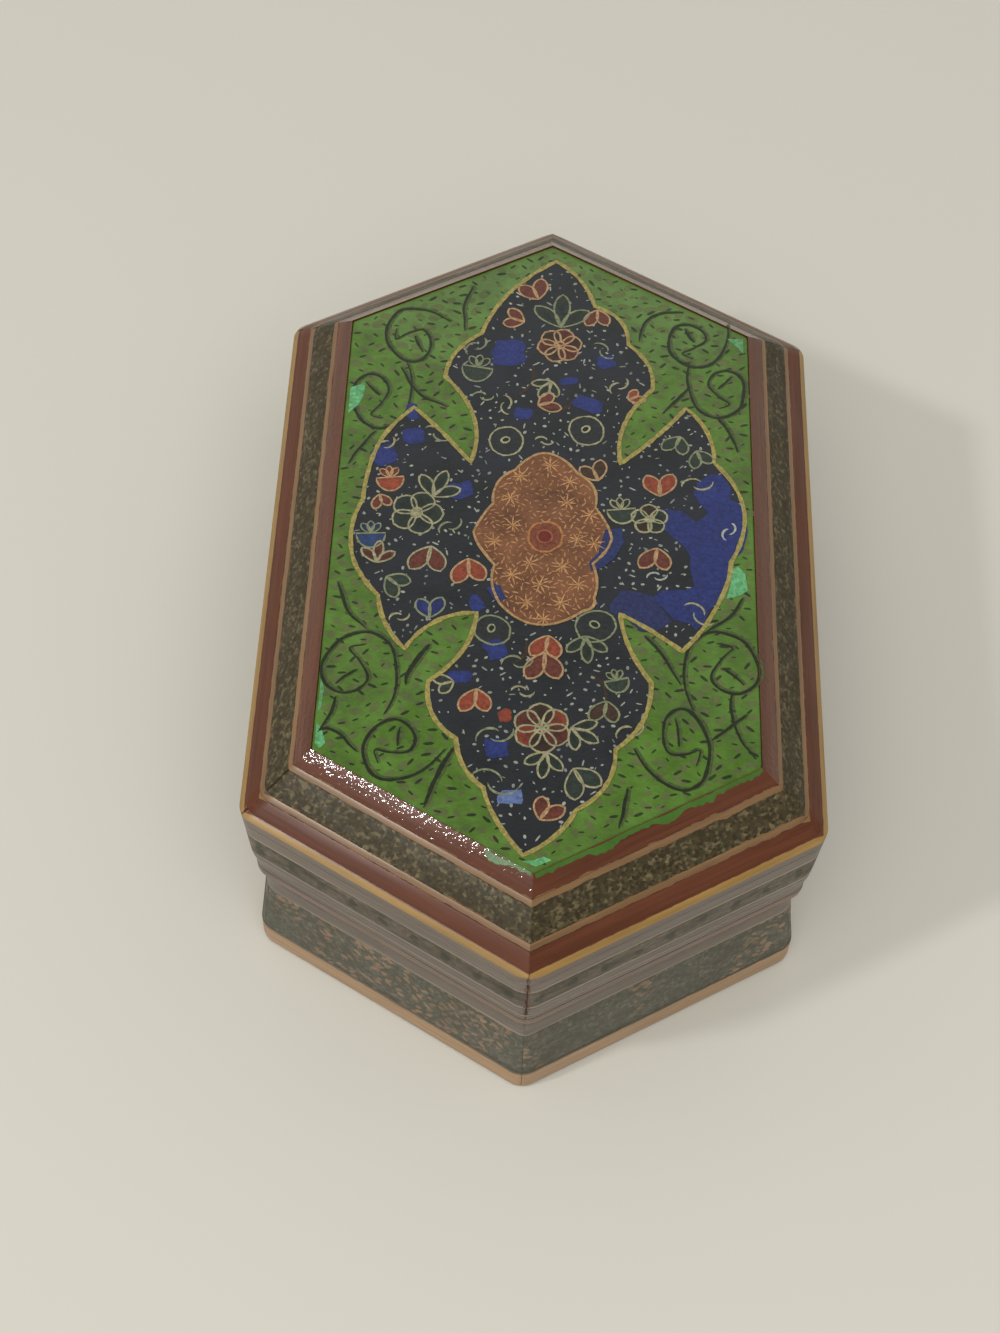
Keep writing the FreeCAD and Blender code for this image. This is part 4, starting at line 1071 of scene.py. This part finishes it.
class TRINKET_OT_inside(bpy.types.Operator):
    """Finish the hidden boards, the velvet and the hinges"""

    bl_idname = "trinket.inside"
    bl_label = "Inside and hinges"

    def execute(self, context):
        base = Finish("base_wood", roughness=0.6)
        space = base.object_space()
        streaks = base.noise(base.scaled(space, (700, 60, 700)), 1.0, 5.0, 0.6, 0.3)
        base.colour(base.ramp(streaks, [(0.3, srgb("5A3E2A")), (0.55, srgb("7A5A3E")), (0.8, srgb("8E6C4C"))]))
        base.bump(streaks, 0.00008, 0.5)
        velvet = Finish("velvet", roughness=0.9, specular=0.2)
        velvet.shader.inputs["Sheen Weight"].default_value = 0.6
        velvet.shader.inputs["Sheen Roughness"].default_value = 0.4
        space = velvet.object_space()
        nap = velvet.noise(space, 2600.0, 3.0, 0.6)
        clouds = velvet.noise(space, 90.0, 3.0, 0.6)
        velvet.colour(velvet.mix(velvet.band(clouds, 0.3, 0.7), srgb("4A1018"), srgb("6A1A24")))
        velvet.bump(nap, 0.00015, 0.8)
        brass = Finish("brass", roughness=0.38, metallic=1.0)
        space = brass.object_space()
        tarnish = brass.noise(space, 420.0, 4.0, 0.6)
        brass.colour(brass.ramp(tarnish, [(0.35, srgb("6E5526")), (0.6, srgb("A98A45")), (0.8, srgb("C0A25C"))]))
        brass.roughness(brass.band(tarnish, 0.3, 0.7, 0.5, 0.3))
        brass.bump(tarnish, 0.00003, 0.5)
        finishes = {"base_wood": base, "velvet": velvet, "brass": brass}
        for node, key in (
                ("base_board", "base_wood"), ("panel_board", "base_wood"), ("floor_pad", "velvet"),
                ("wall_lining", "velvet"), ("lid_lining", "velvet"),
                ("near_hinge_body_leaf", "brass"), ("far_hinge_body_leaf", "brass"),
                ("near_hinge_lid_leaf", "brass"), ("far_hinge_lid_leaf", "brass"),
                ("near_hinge_pin", "brass"), ("far_hinge_pin", "brass"),
                ("body_hinge_nails", "brass"), ("lid_hinge_nails", "brass")):
            NODES[node].data.materials.clear()
            NODES[node].data.materials.append(finishes[key].material)
        return {"FINISHED"}


def paint_finish(name, roughness=0.34, coat=0.0):
    """Lacquered paint that takes its tint from the mesh, with brush marks."""
    finish = Finish(name, roughness=roughness, coat=coat)
    space = finish.object_space()
    strokes = finish.noise(space, 1500.0, 4.0, 0.6, 0.6)
    clouds = finish.noise(space, 260.0, 3.0, 0.6)
    tint = finish.attribute("tint", "Color")
    darker = finish.mix(1.0, tint, (0.55, 0.55, 0.55), "MULTIPLY")
    lighter = finish.mix(1.0, tint, (1.35, 1.35, 1.35), "MULTIPLY")
    colour = finish.mix(finish.band(strokes, 0.35, 0.7, 0.0, 0.8), darker, lighter)
    colour = finish.mix(finish.band(clouds, 0.55, 0.75, 0.0, 0.45), colour, darker)
    finish.colour(colour)
    finish.bump(strokes, 0.00004, 0.5)
    return finish.material


def ground_finish(name, stops, scale=150.0, roughness=0.34, coat=0.0, mottle=900.0):
    """Lacquered paint that shifts between several tones."""
    finish = Finish(name, roughness=roughness, coat=coat)
    space = finish.object_space()
    clouds = finish.noise(space, scale, 5.0, 0.62, 0.3)
    strokes = finish.noise(finish.scaled(space, (1.0, 2.2, 1.0)), mottle, 3.0, 0.6, 0.8)
    mixed = finish.math("ADD", finish.math("MULTIPLY", clouds, 0.7), finish.math("MULTIPLY", strokes, 0.3))
    finish.colour(finish.ramp(mixed, stops))
    finish.bump(strokes, 0.00005, 0.5)
    return finish.material


class TRINKET_OT_painting(bpy.types.Operator):
    """Paint the panel: ground, scrolls, medallion, flowers and the ground's flecks"""

    bl_idname = "trinket.painting"
    bl_label = "Painted panel"

    def execute(self, context):
        green = colour_of("ground_green")
        ground = softened("painted_panel", 0.00035)
        for vertex in ground.data.vertices:
            if vertex.co.z > (PANEL_TOP - 0.5) * MM:
                vertex.co.z -= PAINT_DEPTH * MM
        settle(ground, "lid", "painting", ground_finish("ground_paint", [
            (0.3, srgb("3A5A1C")), (0.45, green), (0.6, srgb("52762A")), (0.75, srgb("5E7E3C"))]), "painted_panel")
        tree = marks_tree()
        panel = [(0, 68.4), (36.6, 47.2), (36.6, -47.2), (0, -68.4), (-36.6, -47.2), (-36.6, 47.2)]
        blotch = ground_finish("blotch_paint", [(0.4, srgb("46562A")), (0.6, srgb("5A6634"))])
        fleck = ground_finish("fleck_paint", [(0.4, srgb("1A2610")), (0.6, srgb("2A3616"))])
        scatter(tree, flat_region("ground_blotches", panel, GROUND), blotch, "lid", "painting",
                Spacing=0.0023, Length=0.0021, Width=0.0013, Thickness=0.000016, Spread=0.4, Turn=1.0, Seed=3,
                Sides=12)
        scatter(tree, flat_region("ground_flecks", panel, GROUND), fleck, "lid", "painting",
                Spacing=0.0021, Length=0.0014, Width=0.00045, Thickness=0.00005, Spread=0.45, Turn=1.0, Seed=8,
                Sides=6)
        coloured = paint_finish("coloured_paint")
        stems = Paint("scroll_stems")
        scrollwork(stems)
        stems.build(coloured)
        outline = by_hand(bowed(MEDALLION), 0.4, 0.09, 2.0)
        medallion = Paint("medallion_ground")
        medallion.shape(outline, 0.065, srgb("23252E"))
        medallion.build(ground_finish("medallion_paint", [
            (0.35, srgb("16181A")), (0.5, srgb("1E2124")), (0.64, srgb("22252E")), (0.78, srgb("242A4A"))], 90.0))
        dot = ground_finish("dot_paint", [(0.4, srgb("626860")), (0.6, srgb("989A8E"))])
        scatter(tree, flat_region("medallion_dots", outline, GROUND + 0.066), dot, "lid", "painting",
                Spacing=0.0012, Density=290000.0, Length=0.0006, Width=0.0004, Thickness=0.00002, Spread=0.5,
                Turn=3.1, Seed=5, Sides=6)
        scatter(tree, flat_region("medallion_dashes", outline, GROUND + 0.066), dot, "lid", "painting",
                Spacing=0.0022, Density=80000.0, Length=0.0011, Width=0.00026, Thickness=0.000024, Spread=0.4,
                Turn=3.1, Seed=11, Sides=6)
        bloom = Paint("medallion_flowers")
        flowers(bloom)
        bloom.stroke(outline, 0.98, 0.14, OLD_GOLD, closed=True)
        bloom.build(coloured)
        heart = by_hand(bowed(SHAMSA, 0.5), 0.3, 0.15, 7.0)
        shamsa = Paint("shamsa_ground")
        shamsa.shape(heart, 0.165, srgb("8A5233"))
        shamsa.build(ground_finish("shamsa_paint", [
            (0.35, srgb("4E3020")), (0.48, srgb("684228")), (0.62, srgb("7C5034"))], 140.0))
        dash = ground_finish("dash_paint", [(0.4, srgb("96683F")), (0.6, srgb("AE8458"))])
        scatter(tree, flat_region("shamsa_dashes", placed(heart, 0, -0.12, 0, 0.94), GROUND + 0.166), dash, "lid",
                "painting", Spacing=0.00085, Length=0.0009, Width=0.00022, Thickness=0.00002, Spread=0.4, Turn=3.1,
                Seed=4, Sides=6)
        stars = Paint("shamsa_stars")
        for number, (x, y) in enumerate((
                (0.8, 14.6), (4.4, 11.0), (-4.6, 11.8), (-6.2, 6.8), (4.0, 6.2), (8.2, 3.6), (-5.6, 0.6), (6.0, -2.0),
                (-8.8, -3.2), (-2.4, -7.6), (3.4, -8.2), (-5.4, -10.4), (6.4, -12.0), (-0.4, -12.2), (-2.6, -16.2),
                (3.4, -16.0), (0.4, -19.6), (9.0, -2.8))):
            for ray in range(8):
                angle = 22.5 * (number % 2) + 45 * ray + 7 * math.sin(number)
                reach = 1.85 + 0.35 * math.sin(3.0 * number + ray)
                stars.stroke(placed([(0.0, 0.0), (reach * 0.5, 0.04), (reach, 0.0)], x, y, angle), 0.3, 0.19,
                             srgb("B98A5A"))
        ring = placed(oval_outline(3.1, 3.3, 28), 0.3, -1.7)
        stars.shape(ring, 0.19, srgb("7A452C"), srgb("6A3020"))
        stars.stroke(by_hand(ring, 0.4, 0.6), 0.5, 0.225, srgb("A8703F"), closed=True)
        stars.shape(placed(oval_outline(1.3, 1.3, 18), 0.2, -1.7), 0.215, srgb("6A2418"))
        stars.stroke(placed(oval_outline(1.35, 1.4, 18), 0.2, -1.7), 0.36, 0.23, srgb("96553A"), closed=True)
        stars.stroke(heart, 0.6, 0.21, srgb("A88558"), closed=True)
        stars.build(coloured)
        chips = Paint("mint_chips")
        mint = srgb("62A870")
        chips.shape([(-36.9, 31.4), (-34.2, 32.7), (-34.4, 29.4), (-35.2, 27.2), (-36.9, 25.2)], 0.05, mint)
        chips.shape([(33.2, -7.4), (34.6, -6.4), (35.8, -8.0), (36.2, -11.6), (34.8, -12.8), (32.4, -13.6), (33.2, -10.4)], 0.05, mint)
        chips.shape([(-1.8, -67.4), (0.4, -68.3), (3.0, -67.0), (1.6, -66.4), (0.0, -67.2)], 0.05, mint)
        chips.shape([(36.8, 47.3), (36.8, 43.6), (35.4, 45.4), (33.8, 47.2)], 0.05, srgb("5C9460"))
        chips.shape([(-37.2, -33.6), (-36.5, -35.6), (-36.7, -39.6), (-37.2, -40.6)], 0.05, srgb("5C9460"))
        chips.shape([(-37.2, -42.4), (-36.2, -44.0), (-35.4, -46.6), (-36.4, -47.6), (-37.2, -46.6)], 0.05, mint)
        chips.build(coloured)
        return {"FINISHED"}


def ribbon(name, stations, material, body, slot_name):
    """A closed strip from stations of four corners each: two outer, two inner."""
    points = [corner for station in stations for corner in station]
    faces = [(3, 2, 1, 0), tuple(len(points) - 4 + number for number in range(4))]
    for number in range(len(stations) - 1):
        start = 4 * number
        for side in range(4):
            following = (side + 1) % 4
            faces.append((start + side, start + following, start + 4 + following, start + 4 + side))
    mesh = bpy.data.meshes.new(name)
    mesh.from_pydata(points, [], faces)
    bm = bmesh.new()
    bm.from_mesh(mesh)
    bmesh.ops.recalc_face_normals(bm, faces=bm.faces)
    bm.to_mesh(mesh)
    bm.free()
    obj = bpy.data.objects.new(name, mesh)
    bpy.context.scene.collection.objects.link(obj)
    return settle(obj, body, slot_name, material)


class TRINKET_OT_wear(bpy.types.Operator):
    """Open the joint at the lid's near tip and let the panel's paint run over its edge"""

    bl_idname = "trinket.wear"
    bl_label = "Crack and paint run"

    def execute(self, context):
        lid_skin = [BVHTree.FromPolygons([v.co for v in mesh.vertices], [p.vertices for p in mesh.polygons])
                    for mesh in (bpy.data.objects[name + "_eased"].data for name in (
                        "lid_board_near_left", "lid_board_near_right", "lid_inlay_near_left", "lid_inlay_near_right",
                        "slope_board_near_left", "slope_board_near_right", "star_lines", "lid_lip_line",
                        "yellow_edge", "outer_red_band", "outer_frame_line"))]

        def skin(x, z):
            hits = [tree.ray_cast(Vector((x, -0.12, z)), Vector((0, 1, 0)))[0] for tree in lid_skin]
            return min((hit.y for hit in hits if hit is not None), default=None)

        for name, slot_name, half, proud, tint, top in (
                ("crack_stain", "board_wood", 0.0006, 0.00002, "6A4638", 0.0466),
                ("crack", "board_wood", 0.00028, 0.00004, "2C201A", 0.0466),
                ("crack_above", "red_wood", 0.00008, 0.00003, "4A2A1E", 0.0496)):
            stations = []
            low = 0.0284 if top < 0.047 else 0.0466
            steps = 26
            for step in range(steps + 1):
                z = low + (top - low) * step / steps
                sway = 0.0002 * noise.noise(Vector((0, half * 9000, z * 420)))
                width = half * (0.75 + 0.7 * noise.noise(Vector((4, half * 9000, z * 600))))
                width *= 0.45 + 0.55 * math.sin(math.pi * min(1.0, max(0.0, step / steps)) ** 0.8)
                front = [skin(sway - width, z), skin(sway + width, z)]
                if None in front:
                    continue
                stations.append([(sway - width, front[0] - proud, z), (sway + width, front[1] - proud, z),
                                 (sway + width, front[1] + 0.0003, z), (sway - width, front[0] + 0.0003, z)])
            dark = Finish(name, roughness=0.7)
            tone = dark.noise(dark.object_space(), 900.0, 3.0, 0.6)
            dark.colour(dark.ramp(tone, [(0.3, srgb(tint)), (0.8, tuple(c * 1.5 for c in srgb(tint)))]))
            ribbon(name, stations, dark.material, "lid", slot_name)
        panel_inset = SIDE_REACH - PANEL_HIGH.x
        rise = (PANEL_HIGH.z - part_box("inner_frame_line")[1].z) / (panel_inset - FRAME_BORDERS[-1])
        spill = ground_finish("spill_paint", [(0.35, srgb("3A601E")), (0.6, srgb("446A28")), (0.8, srgb("548C50"))])
        for name, facing, start, end, reach in (
                ("paint_run_near_right", 300, -0.0346, 0.0085, 0.0014), ("paint_run_near_left", 240, 0.026, 0.0346, 0.0009)):
            angle = math.radians(facing)
            outward = Vector((math.cos(angle), math.sin(angle), 0))
            along = Vector((-math.sin(angle), math.cos(angle), 0))
            stations = []
            steps = int((end - start) / 0.0003)
            for step in range(steps + 1):
                place = start + (end - start) * step / steps
                run = reach * (0.55 + 1.5 * max(0.0, noise.noise(Vector((place * 160, facing, 0)))))
                run += 0.00035 * noise.noise(Vector((place * 900, facing, 5)))
                run = max(0.00012, run)
                inner = outward * (TIP_REACH - panel_inset) + along * place
                outer = outward * (TIP_REACH - panel_inset + run) + along * place
                top = PANEL_HIGH.z - 0.00001
                low = PANEL_HIGH.z - rise * run
                stations.append([(outer.x, outer.y, min(top, low + 0.00004)), (inner.x, inner.y, top),
                                 (inner.x, inner.y, top - 0.0003), (outer.x, outer.y, low - 0.0002)])
            ribbon(name, stations, spill, "lid", "painting")
        return {"FINISHED"}


class TRINKET_OT_stage(bpy.types.Operator):
    """Set the floor, the lamps, the world and the camera"""

    bl_idname = "trinket.stage"
    bl_label = "Floor, light and camera"

    def execute(self, context):
        scene = context.scene
        mesh = bpy.data.meshes.new("floor")
        mesh.from_pydata([(-3, -3, 0), (3, -3, 0), (3, 3, 0), (-3, 3, 0)], [], [(0, 1, 2, 3)])
        floor = bpy.data.objects.new("floor", mesh)
        scene.collection.objects.link(floor)
        paper = Finish("floor", roughness=0.85, specular=0.2)
        paper.shader.inputs["Base Color"].default_value = srgb("CBC8BD") + (1.0,)
        mesh.materials.append(paper.material)
        world = bpy.data.worlds.new("studio")
        world.use_nodes = True
        sky = world.node_tree.nodes["Background"]
        sky.inputs["Color"].default_value = (1.0, 0.985, 0.95, 1.0)
        add, link = world.node_tree.nodes.new, world.node_tree.links.new
        path = add("ShaderNodeLightPath")
        heading = add("ShaderNodeSeparateXYZ")
        link(add("ShaderNodeTexCoord").outputs["Generated"], heading.inputs[0])
        behind = add("ShaderNodeMapRange")
        for key, number in (("From Min", 0.42), ("From Max", 0.72), ("To Min", 0.1), ("To Max", 0.9)):
            behind.inputs[key].default_value = number
        link(heading.outputs["Y"], behind.inputs["Value"])
        level = add("ShaderNodeMapRange")
        level.inputs["To Min"].default_value = 0.52
        link(path.outputs["Is Glossy Ray"], level.inputs["Value"])
        link(behind.outputs["Result"], level.inputs["To Max"])
        link(level.outputs["Result"], sky.inputs["Strength"])
        scene.world = world
        for name, place, size, power, spreads, shines in (
                ("lamp", (-0.94, -0.44, 1.08), 0.13, 5.6, True, True),
                ("softbox", (0.05, -0.8, 1.4), 1.6, 14.5, True, False),
                ("glint", (-0.85, -0.705, 0.645), 0.07, 3.4, False, True)):
            lamp = bpy.data.lights.new(name, "AREA")
            lamp.shape = "DISK"
            lamp.size = size
            lamp.energy = power
            holder = bpy.data.objects.new(name, lamp)
            scene.collection.objects.link(holder)
            holder.visible_diffuse = spreads
            holder.visible_glossy = shines
            holder.location = place
            holder.rotation_euler = (-Vector(place)).to_track_quat("-Z", "Y").to_euler()
        camera = bpy.data.cameras.new("camera")
        camera.sensor_fit = "HORIZONTAL"
        camera.sensor_width = 36.0
        camera.lens = 79.68
        camera.clip_start = 0.01
        eye = bpy.data.objects.new("camera", camera)
        scene.collection.objects.link(eye)
        turn = Matrix.Rotation(-0.035, 3, "Z") @ Matrix.Rotation(-0.586, 3, "X") @ Matrix.Rotation(-0.007, 3, "Z")
        eye.matrix_world = Matrix.Translation((-0.0053, -0.2396, 0.3739)) @ turn.transposed().to_4x4()
        scene.camera = eye
        scene.view_settings.view_transform = "Standard"
        return {"FINISHED"}


class TRINKET_PT_panel(bpy.types.Panel):
    """Steps of the box's finish"""

    bl_idname = "TRINKET_PT_panel"
    bl_label = "Trinket Box"
    bl_space_type = "VIEW_3D"
    bl_region_type = "UI"
    bl_category = "Trinket Box"

    def draw(self, context):
        for step in STEPS:
            self.layout.operator(step.bl_idname)
        for name in BoxSizes.__annotations__:
            self.layout.prop(context.scene.trinket_sizes, name)
        for name in BoxColours.__annotations__:
            self.layout.prop(context.scene.trinket_colours, name)


STEPS = (TRINKET_OT_woodwork, TRINKET_OT_inside, TRINKET_OT_painting, TRINKET_OT_wear, TRINKET_OT_stage)
CLASSES = (BoxColours, BoxSizes) + STEPS + (TRINKET_PT_panel,)


def register():
    for item in CLASSES:
        bpy.utils.register_class(item)
    bpy.types.Scene.trinket_colours = bpy.props.PointerProperty(type=BoxColours)
    bpy.types.Scene.trinket_sizes = bpy.props.PointerProperty(type=BoxSizes)


def unregister():
    del bpy.types.Scene.trinket_sizes
    del bpy.types.Scene.trinket_colours
    for item in reversed(CLASSES):
        bpy.utils.unregister_class(item)


def main():
    register()
    for step in STEPS:
        group, name = step.bl_idname.split(".")
        getattr(getattr(bpy.ops, group), name)()


if __name__ == "__main__":
    main()
